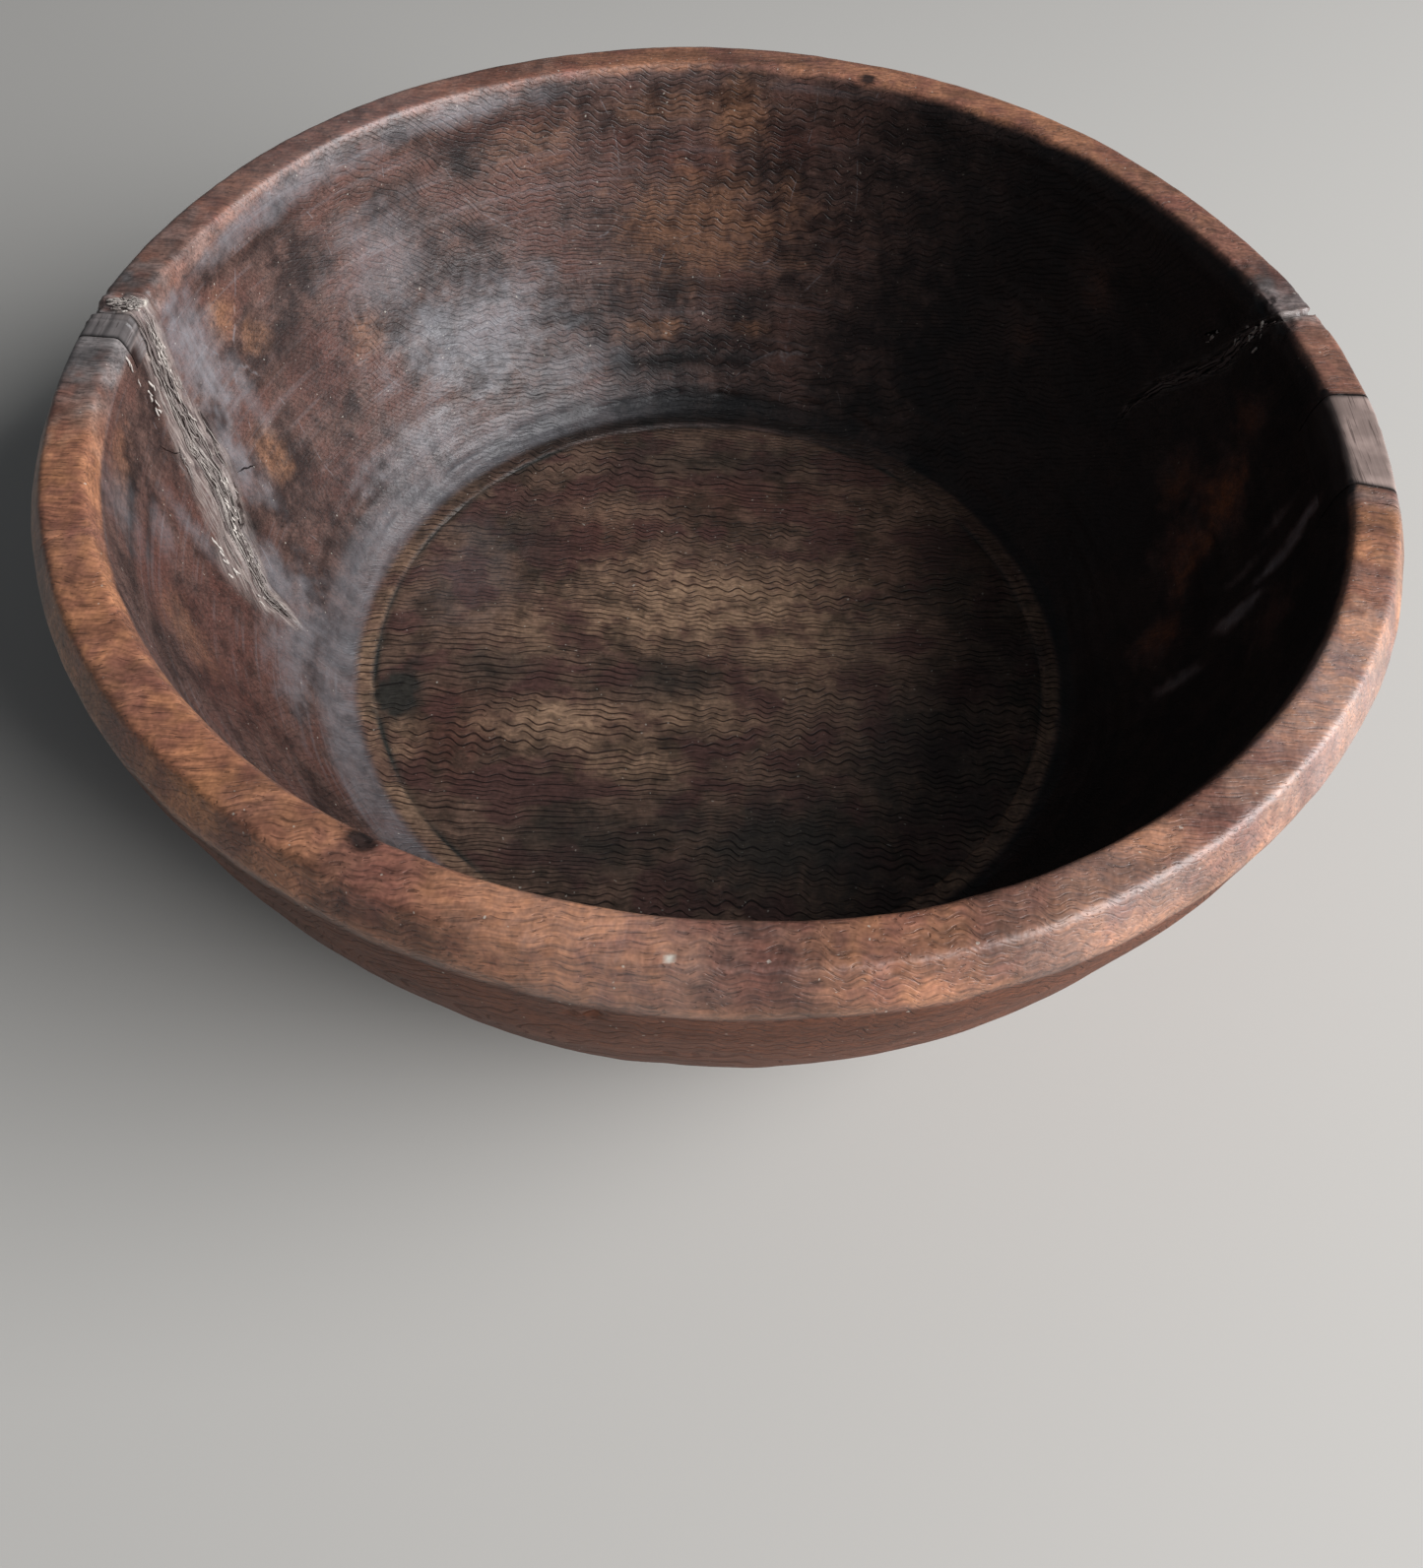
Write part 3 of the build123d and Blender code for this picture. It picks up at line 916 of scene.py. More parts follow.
def surface_of(piece):
    """Where each point of a piece is, how much it belongs to the floor, the rim and the inner
    wall, and the noise that makes marks ragged there."""
    mesh = piece.data
    flat = np.empty(len(mesh.vertices) * 3)
    mesh.vertices.foreach_get("co", flat)
    at = SimpleNamespace()
    at.x, at.y, at.height = (flat.reshape(-1, 3) / MM).T
    at.radius = np.hypot(at.x, at.y)
    at.azimuth = np.degrees(np.arctan2(at.y, at.x)) % 360
    middle_of_wall = 0.5 * (inside_radius(at.height) + outside_radius(at.height))
    at.inner = at.radius < middle_of_wall
    at.floor = smooth(LEDGE_OUTSIDE + 2.2, LEDGE_OUTSIDE - 0.6, at.radius)
    at.floor = at.floor * (at.height < FLOOR + 6) * (at.height > FLOOR - 5)
    reach = RIM_REACH_INSIDE - RIM_REACH_LESS * smooth(80, 55, turned(at.azimuth, 90))
    edge = np.where(at.inner, reach, RIM_REACH_OUTSIDE)
    edge = edge + 0.8 * rough(at.x / 7, at.y / 7, at.height / 7, 204)
    at.rim = smooth(HEIGHT - edge - 1.2, HEIGHT - edge + 1.2, at.height)
    at.wall = at.inner * (1 - at.floor) * (1 - at.rim)
    at.ragged = 0.45 * rough(at.x / 8, at.y / 8, at.height / 8, 201)
    at.ragged = at.ragged + 0.28 * noise(at.x / 2, at.y / 2, at.height / 2, 202)
    return at


def listed_marks(at, name):
    """How strong one kind of listed mark is at each point."""
    on_wall = (
        (np.hypot(turned(at.azimuth, a) * 1.9 / w, (at.height - h) * 1.2 / t), s)
        for a, h, w, t, s in WALL_MARKS.get(name, ())
    )
    on_floor = (
        (np.hypot((at.x - cx) / w, (at.y - cy) / t), s)
        for cx, cy, w, t, s in FLOOR_MARKS.get(name, ())
    )
    on_rim = ((np.abs(turned(at.azimuth, a)) / w, s) for a, w, s in RIM_MARKS.get(name, ()))
    return (
        at.wall * strongest(on_wall, at.ragged)
        + at.floor * strongest(on_floor, at.ragged)
        + at.rim * strongest(on_rim, at.ragged)
    )


def strengthen(strengths, name, values):
    """Makes one kind of mark at least this strong."""
    strengths[name] = np.maximum(strengths[name], values)


def light_bevel_edge_and_redden_rim(at, strengths):
    """Painted warm bounce light along the bevel's lower edge, and a redder rim top."""
    bounce_lit_edge = bell(at.height - BOUNCE_LIT_EDGE + 1.5 * at.ragged, 3.2) * smooth(-0.3, 0.5, at.ragged + 0.3)
    bounce_lit_edge = at.rim * (~at.inner) * bounce_lit_edge
    redder = at.rim * smooth(104, 109, at.height) * smooth(-0.2, 0.3, at.ragged)
    # painted warm bounce light along the bevel's lower edge, with the tan marks
    strengthen(strengths, "glow", 0.9 * bounce_lit_edge)
    strengthen(strengths, "red", 0.6 * redder)


def darken(at, strengths):
    """Painted shade on the right of the inner wall and in the floor's groove, the blocks' dark joints
    and a dark arch on the back wall, all added to the dark marks. The pale dusty coating and
    painted sheen are left only where no shade is painted, and are added in the cove."""
    towards_right = np.cos(np.radians(at.azimuth - DARKEST))
    lively = np.max([strengths[name] for name in ("red", "glow", "film", "ember")], axis=0)
    # painted shade, darkest on the right of the inner wall, whose face turns away from the light
    shade = at.wall * smooth(0.05, 0.78, towards_right + 0.25 * at.ragged) * (0.96 - 0.75 * lively)
    # painted shade in the floor's groove
    groove = at.floor * bell(from_groove(at.radius, at.x, at.y), 1.0)
    groove = groove * (0.75 + 0.5 * noise(at.x / 12, at.y / 12, 0, 206))
    joints = 0.0
    for joint in (*RIGHT_PATCH, *LEFT_PATCH):
        joints = np.maximum(joints, bell(np.radians(turned(at.azimuth, joint)) * at.radius, 0.75))
    around = np.radians(turned(at.azimuth, ARCH)) * at.radius
    from_arch = np.hypot(around / ARCH_WIDTH, (at.height - ARCH_FOOT) / ARCH_RISE) - 1
    from_arch = from_arch + 0.4 * at.ragged
    arch = bell(from_arch, 0.17) * smooth(30, 36, at.height) * (turned(at.azimuth, 90) < 30)
    for dark in (shade, 0.5 * at.wall * arch, 0.95 * groove, 0.95 * at.rim * joints):
        strengthen(strengths, "stain", dark)
    # pale dusty coating and painted sheen in the cove away from the right
    cove = at.wall * smooth(27, 20, at.height) * smooth(-0.15, 0.6, -towards_right)
    cove = 0.8 * cove * (0.8 + 0.4 * at.ragged)
    strengths["film"] = strengths["film"] * (1 - shade)
    strengthen(strengths, "film", cove)


def edge_floor(at, strengths):
    """Painted light on the ledge around the floor, lost at the back in the dark foot of the wall, and
    painted shade along the undercut above the cove.
    """
    back = bell(turned(at.azimuth, BACK), BACK_WIDTH)
    # painted light on the ledge
    ledge = at.floor * smooth(GROOVE - 1, GROOVE + 1, at.radius)
    ledge = ledge * (0.6 + 0.4 * noise(at.x / 9, at.y / 9, 0, 203))
    strengthen(strengths, "glow", 0.8 * ledge * (1 - back))
    strengths["glow"] = strengths["glow"] * (1 - ledge * back)
    foot = at.inner * smooth(GROOVE - 0.5, GROOVE + 2, at.radius)
    foot = 0.95 * back * foot * smooth(23, 17, at.height + 1.5 * at.ragged)
    # painted shade along the undercut above the cove
    line, broken, at_back = cove_cut(at.x, at.y, at.height, at.azimuth, 0.8)
    cut = at.wall * line * smooth(-0.2, 0.3, broken) * at_back
    strengthen(strengths, "stain", np.maximum(foot, cut))
    at.floor = at.floor * (1 - 0.9 * back * smooth(GROOVE - 0.8, GROOVE + 0.8, at.radius))


def spots(at, places):
    """How much each point lies in one of several small ragged spots."""
    result = 0.0
    for azimuth, radius, height, size in places:
        along = np.radians(turned(at.azimuth, azimuth)) * at.radius
        away = np.sqrt((along / 1.3) ** 2 + (at.radius - radius) ** 2 + (at.height - height) ** 2)
        result = np.maximum(result, 1 - smooth(0.7, 1.2, away / size + 0.3 * at.ragged))
    return result


def mark(piece):
    """Paints each kind of mark, painted light, sheen and shade among them, on a piece of the bowl as how
    strong it is at each point.
    """
    at = surface_of(piece)
    strengths = {name: listed_marks(at, name) for name in MARK_NAMES}
    light_bevel_edge_and_redden_rim(at, strengths)
    darken(at, strengths)
    edge_floor(at, strengths)
    strengthen(strengths, "stain", 0.85 * spots(at, DARK_SPOTS))
    strengths["pale"] = spots(at, PALE_CHIPS)
    strengths["outside"] = (~at.inner) * (1 - at.rim)
    strengths["rim"], strengths["floor"] = at.rim, at.floor
    distance, strengths["torn"] = beside_cracks(at.x, at.y, at.height, at.inner)
    for name, values in strengths.items():
        paint(piece, name, np.clip(values, 0, 1))
    paint(piece, "around", (at.height + at.radius) * MM)
    paint(piece, "across", distance * MM)


# ---------------------------------------------------------------- materials
# Linear colours of the wood.
DARK_WOOD = (0.024, 0.012, 0.010)
MID_WOOD = (0.105, 0.058, 0.046)
RED_WOOD = (0.084, 0.031, 0.023)
# tan blotches, and painted light on the inner wall
TAN_AND_LIT_WOOD = (0.215, 0.103, 0.057)
FLOOR_DARK = (0.050, 0.032, 0.023)
FLOOR_MID = (0.140, 0.084, 0.060)
# tan floor, and painted light on the floor's middle and ledge
FLOOR_TAN_AND_LIT = (0.310, 0.195, 0.124)
FLOOR_PLUM = (0.078, 0.037, 0.032)
OUTSIDE_WOOD = (0.108, 0.034, 0.015)
RIM_DARK = (0.075, 0.034, 0.024)
RIM_WOOD = (0.200, 0.092, 0.060)
# tan rim wood, and painted warm light on the bevel's lower edge and front right
RIM_TAN_AND_LIT = (0.455, 0.195, 0.088)
RIM_RED = (0.150, 0.056, 0.040)
# stains, and painted shade
STAIN_AND_SHADE = (0.0040, 0.0036, 0.0040)
STAIN_AND_SHADE_BROWN = (0.0150, 0.0095, 0.0085)
EMBER = (0.235, 0.072, 0.022)
# stains on the floor, and painted shade in its groove and on its right
FLOOR_STAIN_AND_SHADE = (0.027, 0.025, 0.021)
GREY_WOOD = (0.160, 0.142, 0.138)
GREY_DARK = (0.065, 0.057, 0.056)
TORN_DARK = (0.125, 0.096, 0.090)
TORN_PALE = (0.275, 0.224, 0.200)
LINE_SHADE = (0.13, 0.095, 0.09)
# pale dusty coating, and painted sheen
FILM_AND_SHEEN = (0.230, 0.228, 0.245)
PALE_WOOD = (0.550, 0.510, 0.440)
PATCH_WOOD = (0.300, 0.222, 0.196)
PATCH_DARK = (0.235, 0.172, 0.150)
FIBRE_DARK = (0.080, 0.058, 0.053)
FIBRE_PALE = (0.66, 0.60, 0.54)

LAYERS_PER_METRE = (0.0, 560.0, 430.0)  # how fast the wood's layers pass along X, Y and Z
RIPPLES_PER_METRE = 160.0
# How far, in metres, curly grain wavers along X, Y and Z: in ripples, unevenly and slowly.
RIPPLE = (0, 0.00034, 0.00030)
UNEVEN = (0, 0.0022, 0.0018)
SLOW = (0, 0.014, 0.014)
COAT_ROUGHNESS = 0.42
BOWL_SHINE = 0.32  # specular level of the bowl's old, dry wood


class Graph:
    """Short calls for the nodes of one material. A value is a number, a colour or an output."""

    def __init__(self, name):
        self.material = bpy.data.materials.new(name)
        self.material.use_nodes = True
        self.tree = self.material.node_tree
        self.shader = self.tree.nodes["Principled BSDF"]

    def put(self, socket, value):
        if isinstance(value, bpy.types.NodeSocket):
            self.tree.links.new(value, socket)
        elif isinstance(value, (tuple, list)) and len(value) == 3 and socket.type == "RGBA":
            socket.default_value = (*value, 1)
        else:
            socket.default_value = value

    def add(self, kind, values=None, **settings):
        node = self.tree.nodes.new("ShaderNode" + kind)
        for name, value in settings.items():
            setattr(node, name, value)
        for name, value in (values or {}).items():
            self.put(node.inputs[name], value)
        return node

    def maths(self, operation, a, b=0.0, clamp=False):
        return self.add("Math", {0: a, 1: b}, operation=operation, use_clamp=clamp).outputs[0]

    def times(self, first, *others):
        for other in others:
            first = self.maths("MULTIPLY", first, other)
        return first

    def total(self, *terms):
        """The sum of several (share, value) terms."""
        result = 0.0
        for share, value in terms:
            result = self.maths("ADD", result, self.times(value, share))
        return result

    def mix(self, share, a, b, how="MIX"):
        node = self.add("Mix", {0: share, 6: a, 7: b}, data_type="RGBA", blend_type=how)
        return node.outputs[2]

    def darker(self, share, colour, shade):
        """A colour multiplied by a shade where the share is 1."""
        return self.mix(share, colour, self.mix(1.0, colour, shade, "MULTIPLY"))

    def toned(self, colour, tone):
        """A colour made as many times brighter as the tone says."""
        grey = self.add("CombineColor", {0: tone, 1: tone, 2: tone}).outputs[0]
        return self.mix(1.0, colour, grey, "MULTIPLY")

    def step(self, value, low, high, first=0.0, last=1.0):
        """From first, where the value is low, softly to last, where it is high."""
        values = {0: value, 1: low, 2: high, 3: first, 4: last}
        return self.add("MapRange", values, interpolation_type="SMOOTHSTEP").outputs[0]

    def scaled(self, vector, by):
        return self.add("VectorMath", {0: vector, 1: by}, operation="MULTIPLY").outputs[0]

    def plus(self, a, b):
        return self.add("VectorMath", {0: a, 1: b}, operation="ADD").outputs[0]

    def noise(self, vector, scale=1.0, detail=1.0, roughness=0.5, colour=False):
        values = {"Vector": vector, "Scale": scale, "Detail": detail, "Roughness": roughness}
        return self.add("TexNoise", values).outputs[1 if colour else 0]

    def masks(self, *names):
        """What paint() stored for each point under each of the names."""
        return [self.add("Attribute", attribute_name=name).outputs["Fac"] for name in names]

    def place(self):
        return self.add("TexCoord").outputs["Object"]

    def finish(self, colour, roughness, relief, depth, coat=0.0, shine=0.5):
        """Fills in the shader, with relief of a depth in metres, and gives the material."""
        bump = self.add("Bump", {"Height": relief, "Distance": depth, "Strength": 1.0}).outputs[0]
        self.put(self.shader.inputs["Base Color"], colour)
        self.put(self.shader.inputs["Roughness"], roughness)
        self.put(self.shader.inputs["Normal"], bump)
        self.put(self.shader.inputs["Specular IOR Level"], shine)
        self.put(self.shader.inputs["Coat Weight"], coat)
        self.put(self.shader.inputs["Coat Roughness"], COAT_ROUGHNESS)
        self.put(self.shader.inputs["Coat Normal"], bump)
        return self.material


def curly(g, place):
    """Coordinates that waver the way curly grain does, in ripples about 6 mm long."""
    half = (-0.5, -0.5, -0.5)
    along = g.add("SeparateXYZ", {0: place}).outputs[0]
    drift = g.noise(g.scaled(place, (11, 26, 26)), detail=1.0)
    turns = g.times(g.total((RIPPLES_PER_METRE, along), (2.6, drift)), math.tau)
    strength = g.step(g.noise(g.scaled(place, (16, 36, 36)), detail=0.0), 0.3, 0.7, 0.15, 1.0)
    wave = g.times(g.maths("SINE", turns), strength)
    shift = g.add("CombineXYZ", {"Y": wave, "Z": wave}).outputs[0]
    uneven = g.plus(g.noise(g.scaled(place, (150, 60, 60)), detail=0.0, colour=True), half)
    slow = g.plus(g.noise(g.scaled(place, (10, 28, 28)), detail=0.0, colour=True), half)
    wavy = g.plus(place, g.scaled(shift, RIPPLE))
    wavy = g.plus(wavy, g.scaled(uneven, UNEVEN))
    return g.plus(wavy, g.scaled(slow, SLOW))


def grain_lines(g, wavy):
    """Thin dark lines where the wood's layers meet the surface, bent and broken here and there."""
    layers = g.add("VectorMath", {0: wavy, 1: LAYERS_PER_METRE}, operation="DOT_PRODUCT")
    bend = g.noise(g.scaled(wavy, (14, 70, 70)), detail=1.0)
    turns = g.times(g.maths("ADD", layers.outputs["Value"], g.times(bend, 4.0)), math.tau)
    lines = g.step(g.maths("SINE", turns), 0.58, 0.96)
    return g.times(lines, g.step(g.noise(g.scaled(wavy, (75, 420, 420)), detail=1.0), 0.36, 0.52))


def wall_place(g, place, around):
    """Coordinates in which marks run around the bowl: the way faced and the section's place."""
    facing = g.add("VectorMath", {0: g.scaled(place, (1, 1, 0))}, operation="NORMALIZE").outputs[0]
    return facing, g.plus(facing, g.add("CombineXYZ", {"Z": around}).outputs[0])


def wood_pattern(g):
    """The masks and the noises that the bowl's colour and relief share, by name."""
    place = g.place()
    wavy = curly(g, place)
    names = (*MARK_NAMES, "rim", "floor", "outside", "torn", "pale")
    p = SimpleNamespace(place=place, **dict(zip(names, g.masks(*names))))
    around, across = g.masks("around", "across")
    facing, p.wall = wall_place(g, place, around)
    facing_x = g.add("SeparateXYZ", {0: facing}).outputs[0]
    end_grain = g.maths("POWER", g.maths("ABSOLUTE", facing_x), 2.0)
    end_grain = g.times(end_grain, g.maths("SUBTRACT", 1.0, p.floor))
    p.lines = g.times(grain_lines(g, wavy), g.step(end_grain, 1.0, 0.3, 0.3))
    p.pores = g.step(g.noise(g.scaled(wavy, (260, 2600, 2600)), detail=0.0), 0.66, 0.74)
    p.streaks = g.noise(g.scaled(wavy, (16, 130, 130)), detail=2.0, roughness=0.6)
    p.fibres = g.noise(g.scaled(wavy, (110, 1500, 1500)), detail=1.0)
    p.blotches = g.noise(g.scaled(place, (42, 55, 55)), detail=3.0, roughness=0.6)
    p.mottle = g.noise(place, 190.0, detail=3.0, roughness=0.65)
    p.cloud = g.total((0.6, p.blotches), (0.4, p.mottle))
    p.specks = g.noise(place, 900.0, detail=1.0)
    apart = g.plus(place, (3.0, 5.0, 0.0))
    p.plum = g.noise(g.scaled(apart, (55, 70, 60)), detail=2.0, roughness=0.65)
    p.scrapes = g.noise(g.scaled(p.wall, (3.0, 3.0, 1100)), detail=2.0, roughness=0.65)
    steep = g.plus(g.scaled(facing, (110, 110, 0)), g.scaled(place, (60, 60, 34)))
    p.scratches = g.noise(steep, detail=3.0)
    height = g.add("SeparateXYZ", {0: place}).outputs[2]
    along = g.add("CombineXYZ", {"X": across, "Z": height}).outputs[0]
    p.torn_streaks = g.noise(g.scaled(along, (1500, 0, 190)), detail=2.0, roughness=0.6)
    elsewhere = g.total((1.0, p.floor), (1.0, p.outside), (1.0, p.rim))
    p.walls = g.maths("SUBTRACT", 1.0, elsewhere, clamp=True)
    p.not_stained = g.maths("SUBTRACT", 1.0, p.stain)
    return p


def broken(g, p, mask, low=0.34, high=0.60):
    """A mask broken up by the wood's own mottling."""
    return g.maths("MULTIPLY", mask, g.step(p.mottle, low, high, 0.4, 1.1), clamp=True)


def wall_and_floor(g, p):
    """The colour of the inner wall, the floor and the outside, with red blotches, and tan blotches that
    also paint light on the lit wall, the floor's middle and the ledge.
    """
    colour = g.mix(g.step(p.cloud, 0.38, 0.62), DARK_WOOD, MID_WOOD)
    colour = g.mix(g.step(p.blotches, 0.50, 0.66, 0.0, 0.55), colour, RED_WOOD)
    tone = g.total((0.12, p.streaks), (0.88, p.cloud))
    floor = g.mix(g.step(tone, 0.40, 0.58), FLOOR_DARK, FLOOR_MID)
    floor = g.mix(g.step(p.plum, 0.47, 0.58, 0.0, 0.85), floor, FLOOR_PLUM)
    colour = g.mix(p.floor, colour, floor)
    colour = g.mix(broken(g, p, p.red), colour, RED_WOOD)
    colour = g.mix(broken(g, p, p.glow), colour, g.mix(p.floor, TAN_AND_LIT_WOOD, FLOOR_TAN_AND_LIT))
    outside = g.toned(OUTSIDE_WOOD, g.step(p.streaks, 0.3, 0.7, 0.8, 1.2))
    return g.mix(p.outside, colour, outside)


def rim_colour(g, p):
    """The warmer colour of the rim and the bevel, with tan wood that also paints warm light along the
    bevel's lower edge and at the rim's front right.
    """
    tone = g.total((0.5, p.blotches), (0.5, p.mottle))
    colour = g.mix(g.step(tone, 0.36, 0.56), RIM_DARK, RIM_WOOD)
    colour = g.mix(g.times(p.glow, g.step(p.blotches, 0.3, 0.6, 0.4, 1.0)), colour, RIM_TAN_AND_LIT)
    colour = g.mix(g.step(p.plum, 0.50, 0.64, 0.0, 0.6), colour, RIM_RED)
    colour = g.mix(g.times(p.red, g.step(p.mottle, 0.3, 0.6, 0.3, 0.9)), colour, RIM_RED)
    return g.toned(colour, g.step(p.streaks, 0.3, 0.7, 0.78, 1.22))


def stained(g, p, colour):
    """A colour with bright embers, dark stains and painted shade, and weathered grey over it."""
    colour = g.mix(broken(g, p, p.ember, 0.38, 0.62), colour, EMBER)
    dark = g.mix(g.step(p.cloud, 0.42, 0.60), STAIN_AND_SHADE, STAIN_AND_SHADE_BROWN)
    dark = g.mix(p.floor, dark, FLOOR_STAIN_AND_SHADE)
    colour = g.mix(broken(g, p, p.stain, 0.16, 0.36), colour, dark)
    grey = g.mix(g.step(p.streaks, 0.36, 0.64), GREY_DARK, GREY_WOOD)
    return g.mix(g.times(p.grey, g.step(p.mottle, 0.25, 0.5, 0.75, 1.0)), colour, grey)


def grained(g, p, colour):
    """A colour with the grain's lines, pores and fine fibres in it."""
    share = g.total((0.22, p.floor), (0.70, 1.0), (-0.46, p.rim), (-0.38, p.outside))
    colour = g.darker(g.times(p.lines, share), colour, LINE_SHADE)
    colour = g.darker(g.times(p.pores, 0.4), colour, LINE_SHADE)
    colour = g.toned(colour, g.step(p.fibres, 0.25, 0.75, 0.76, 1.26))
    return g.toned(colour, g.step(p.specks, 0.3, 0.7, 0.85, 1.15))


def scuffed(g, p, colour):
    """A colour under the pale dusty coating and painted sheen, with thin scuffs and scraped strokes
    around the wall.
    """
    film = g.times(p.film, g.step(p.scratches, 0.34, 0.66, 0.80, 1.0))
    film = g.times(film, g.step(p.mottle, 0.3, 0.6, 0.6, 1.0))
    colour = g.mix(g.times(film, 0.68), colour, FILM_AND_SHEEN)
    scuffs = g.noise(g.scaled(p.place, (28, 28, 13)), detail=0.0)
    scuffs = g.step(g.maths("ABSOLUTE", g.maths("SUBTRACT", scuffs, 0.5)), 0.003, 0.0005)
    scuffs = g.times(scuffs, g.step(p.mottle, 0.48, 0.6), p.walls, p.not_stained)
    colour = g.mix(g.times(scuffs, 0.35), colour, FILM_AND_SHEEN)
    strokes = g.noise(g.scaled(p.wall, (2.2, 2.2, 420)), detail=3.0, roughness=0.7)
    strokes = g.times(g.step(strokes, 0.50, 0.66), g.step(p.blotches, 0.40, 0.60), p.walls)
    strokes = g.times(strokes, p.not_stained)
    return g.mix(g.times(strokes, g.total((0.13, 1.0), (0.22, p.film))), colour, FILM_AND_SHEEN)


def torn_and_chipped(g, p, colour):
    """A colour with torn wood beside the cracks, pale grit and pale chips."""
    torn = g.mix(g.step(p.torn_streaks, 0.36, 0.66), TORN_DARK, TORN_PALE)
    torn = g.mix(g.times(p.stain, 0.85), torn, g.toned(torn, 0.10))
    colour = g.mix(g.times(p.torn, g.step(p.torn_streaks, 0.3, 0.6, 0.35, 1.0)), colour, torn)
    grit = g.step(g.noise(p.place, 1100.0, detail=0.0), 0.84, 0.87)
    grit = g.times(grit, g.maths("SUBTRACT", 0.5, g.times(p.stain, 0.45)))
    colour = g.mix(grit, colour, PALE_WOOD)
    return g.mix(p.pale, colour, PALE_WOOD)


def bowl_material():
    """Old dark wood with curly grain and all the marks painted on the bowl, with painted light, sheen and
    shade among them.
    """
    g = Graph("bowl_wood")
    p = wood_pattern(g)
    colour = g.mix(p.rim, wall_and_floor(g, p), rim_colour(g, p))
    for cover in (stained, grained, scuffed, torn_and_chipped):
        colour = cover(g, p, colour)
    roughness = g.total(
        (0.45, 1.0), (-0.08, p.film), (0.10, p.lines), (0.25, p.torn), (0.12, p.grey),
        (0.16, p.outside), (0.08, p.mottle),
    )
    shallow_on_rim = g.maths("SUBTRACT", 1.0, g.times(p.rim, 0.7))
    relief = g.total(
        (-0.35, g.times(p.lines, shallow_on_rim)), (-0.2, p.pores), (0.2, p.fibres),
        (0.3, p.specks), (0.2, g.times(p.scrapes, p.walls)),
        (0.14, g.times(p.scratches, p.film)), (0.9, g.times(p.torn_streaks, p.torn)),
    )
    waxed = g.times(g.total((0.32, p.walls), (0.65, p.rim)), p.not_stained)
    return g.finish(colour, roughness, relief, 0.00030, waxed, BOWL_SHINE)


def patch_material():
    """Smooth grey-brown wood, its grain along Y, darkened like the wall below the rim, and with stains
    and painted shade over it.
    """
    g = Graph("patch_wood")
    place = g.place()
    rim, grey, stain, torn = g.masks("rim", "grey", "stain", "torn")
    streaks = g.noise(g.scaled(place, (420, 24, 420)), detail=2.0)
    fine = g.noise(g.scaled(place, (2600, 90, 2600)), detail=1.0)
    blotches = g.noise(place, 110.0, detail=3.0, roughness=0.6)
    colour = g.mix(g.step(streaks, 0.25, 0.80), PATCH_DARK, PATCH_WOOD)
    colour = g.toned(colour, g.step(blotches, 0.35, 0.7, 0.7, 1.12))
    colour = g.mix(grey, colour, g.mix(g.step(streaks, 0.36, 0.64), GREY_DARK, GREY_WOOD))
    colour = g.darker(g.step(fine, 0.60, 0.72, 0.0, 0.6), colour, LINE_SHADE)
    wall = g.toned(DARK_WOOD, g.step(blotches, 0.35, 0.65, 0.5, 2.0))
    wall = g.mix(torn, wall, g.mix(g.step(fine, 0.36, 0.62), TORN_DARK, GREY_WOOD))
    colour = g.mix(g.step(rim, 0.1, 0.9), wall, colour)
    colour = g.mix(g.times(stain, 0.9), colour, STAIN_AND_SHADE)
    relief = g.total((0.25, streaks), (0.15, fine))
    return g.finish(colour, g.step(blotches, 0.3, 0.7, 0.42, 0.55), relief, 0.00025)


def torn_material():
    """Dry torn wood, from dirty grey-brown to nearly white by each fibre's paleness."""
    g = Graph("torn_wood")
    place = g.place()
    (pale,) = g.masks("pale")
    fine = g.noise(g.scaled(place, (1400, 1400, 300)), detail=2.0)
    dirt = g.noise(place, 320.0, detail=2.0)
    colour = g.mix(g.step(pale, 0.0, 1.0), FIBRE_DARK, FIBRE_PALE)
    colour = g.mix(g.step(fine, 0.35, 0.6, 0.35, 0.0), colour, TORN_DARK)
    colour = g.mix(g.step(dirt, 0.45, 0.7, 0.0, 0.5), colour, TORN_DARK)
    return g.finish(colour, 0.8, fine, 0.0003)


bowl_wood = bowl_material()
patch_wood = patch_material()
torn_wood = torn_material()
for piece in (bowl, right_patch, left_patch):
    mark(piece)
for piece, material in (
    (bowl, bowl_wood),
    (right_patch, patch_wood),
    (left_patch, patch_wood),
    (left_torn, torn_wood),
    (right_torn, torn_wood),
):
    piece.data.materials.clear()
    piece.data.materials.append(material)


# ---------------------------------------------------------------- camera
# Distances in outer radii, angles in degrees, all about the middle of the rim.
CAMERA_DISTANCE, CAMERA_RISE, CAMERA_ROLL = 2.170, 40.05, 3.40
CAMERA_LENS, CAMERA_SHIFT, CAMERA_TILT = 32.72, -0.098, -0.1789


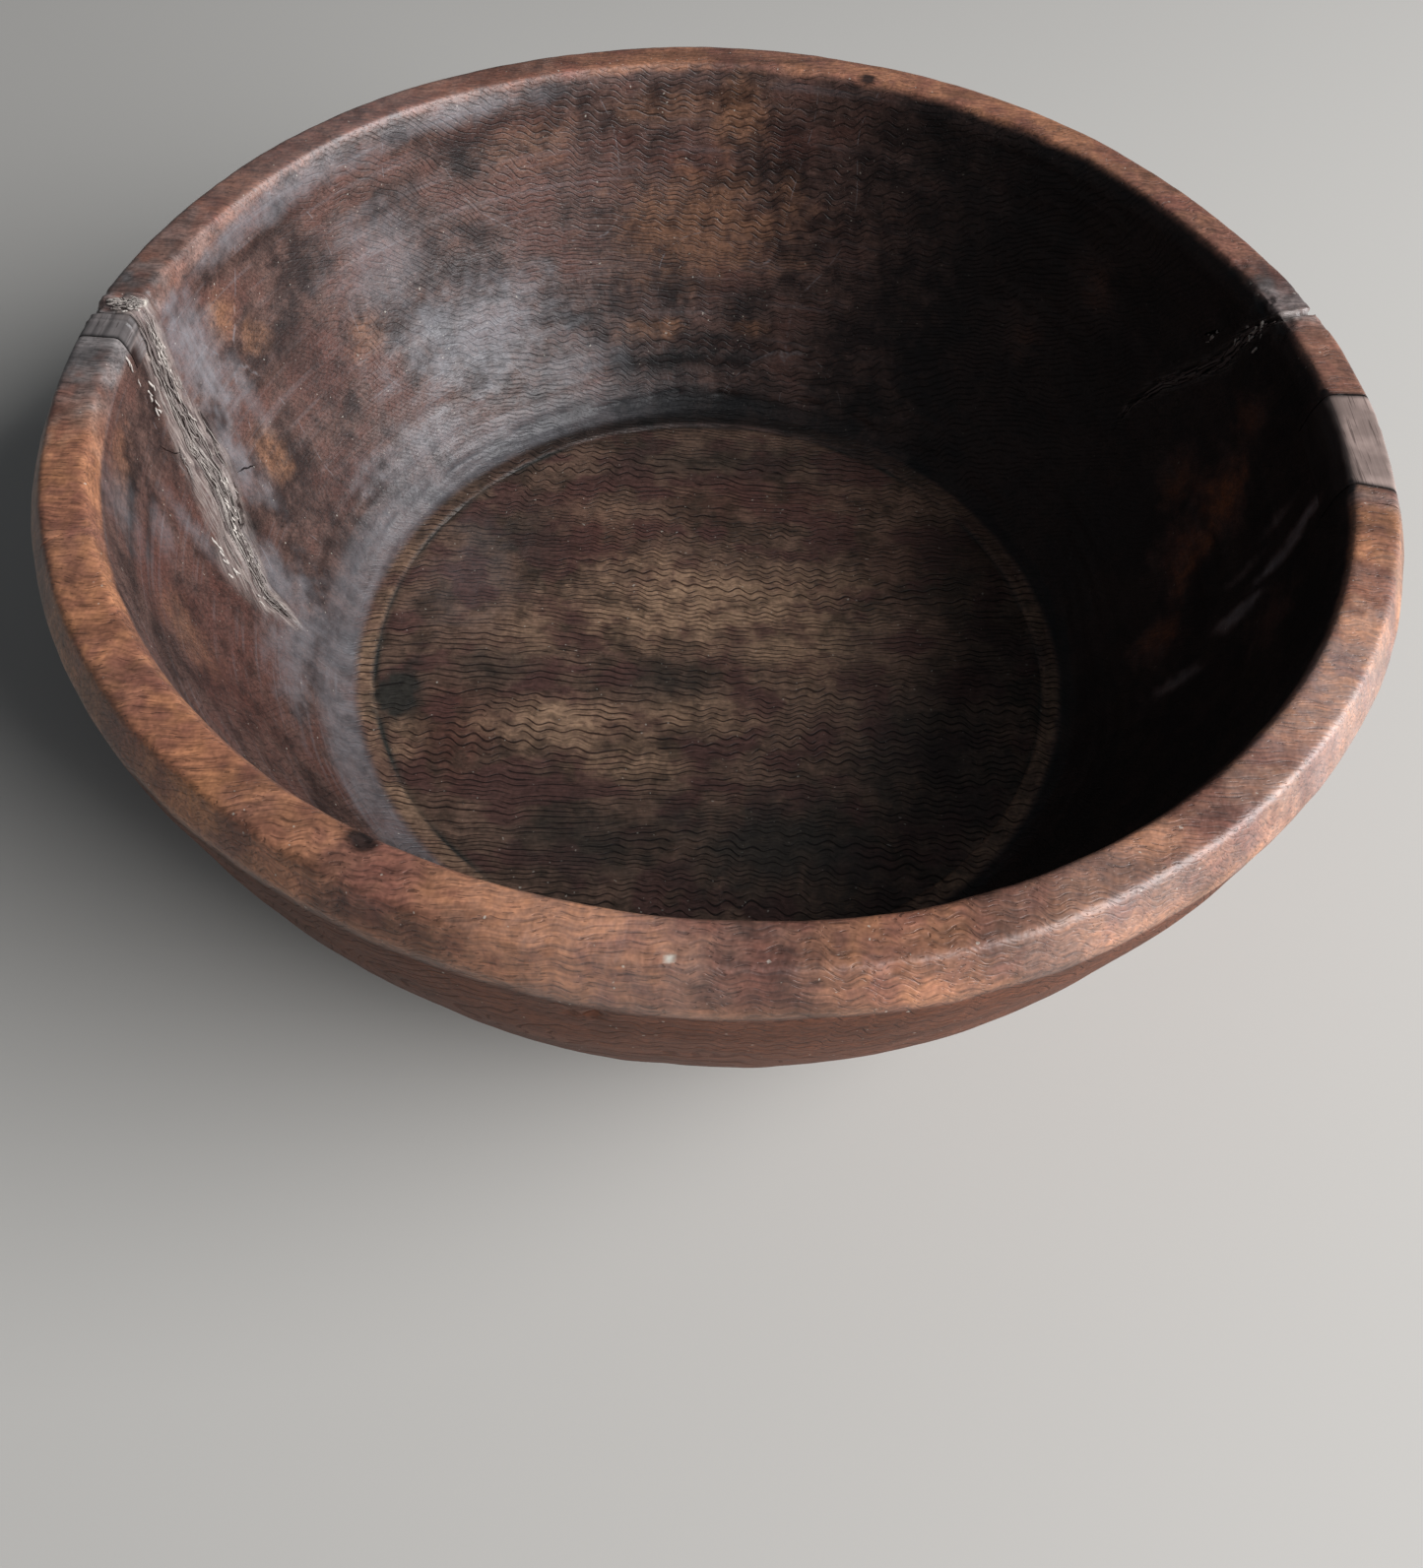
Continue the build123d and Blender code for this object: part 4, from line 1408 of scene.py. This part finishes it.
def make_camera():
    """The camera that took the photograph, as solved from the rim's and the floor's outlines."""
    rise, roll = math.radians(CAMERA_RISE), math.radians(CAMERA_ROLL)
    reach = CAMERA_DISTANCE * WIDEST * MM
    ahead = Vector((0, math.cos(rise), -math.sin(rise)))
    place = Vector((0, 0, HEIGHT * MM)) - ahead * reach
    side = Vector((1, 0, 0))
    up = side.cross(ahead)
    ahead = (ahead + CAMERA_TILT * up).normalized()
    side = ahead.cross(Vector((0, 0, 1))).normalized()
    up = side.cross(ahead)
    right = math.cos(roll) * side + math.sin(roll) * up
    over = -math.sin(roll) * side + math.cos(roll) * up
    camera = bpy.data.cameras.new("camera")
    camera.lens, camera.shift_y = CAMERA_LENS, CAMERA_SHIFT
    camera.clip_start = 0.01
    thing = bpy.data.objects.new("camera", camera)
    bpy.context.collection.objects.link(thing)
    turn = Matrix((right, over, -ahead)).transposed()
    thing.matrix_world = Matrix.Translation(place) @ turn.to_4x4()
    bpy.context.scene.camera = thing


make_camera()


# ---------------------------------------------------------------- floor and light
def make_floor():
    """A wide pale floor for the bowl to stand on."""
    mesh = bpy.data.meshes.new("ground")
    far = 12.0
    corners = [(-far, -far, 0), (far, -far, 0), (far, far, 0), (-far, far, 0)]
    mesh.from_pydata(corners, [], [(0, 1, 2, 3)])
    ground = bpy.data.objects.new("ground", mesh)
    bpy.context.collection.objects.link(ground)
    material = bpy.data.materials.new("ground")
    material.use_nodes = True
    shader = material.node_tree.nodes["Principled BSDF"]
    shader.inputs["Base Color"].default_value = (0.44, 0.425, 0.40, 1)
    shader.inputs["Roughness"].default_value = 0.6
    shader.inputs["Specular IOR Level"].default_value = 0.1
    mesh.materials.append(material)


def area_light(name, azimuth, rise, distance, width, height, power, colour):
    """A soft rectangular light that faces the bowl."""
    light = bpy.data.lights.new(name, "AREA")
    light.shape, light.size, light.size_y = "RECTANGLE", width, height
    light.energy, light.color = power, colour
    thing = bpy.data.objects.new(name, light)
    a, e = math.radians(azimuth), math.radians(rise)
    place = Vector((math.cos(a) * math.cos(e), math.sin(a) * math.cos(e), math.sin(e))) * distance
    thing.location = place
    thing.rotation_euler = (-place).to_track_quat("-Z", "Y").to_euler()
    bpy.context.collection.objects.link(thing)


def make_room():
    """The faint cool light that comes from all sides."""
    world = bpy.data.worlds.new("room")
    bpy.context.scene.world = world
    world.use_nodes = True
    background = world.node_tree.nodes["Background"]
    background.inputs["Color"].default_value = (0.85, 0.92, 1.0, 1)
    background.inputs["Strength"].default_value = 0.11


make_floor()
area_light(
    "window", azimuth=-18, rise=31, distance=1.8, width=1.6, height=1.5, power=84,
    colour=(0.97, 0.98, 1.0),
)
make_room()
bpy.context.scene.view_settings.view_transform = "Standard"
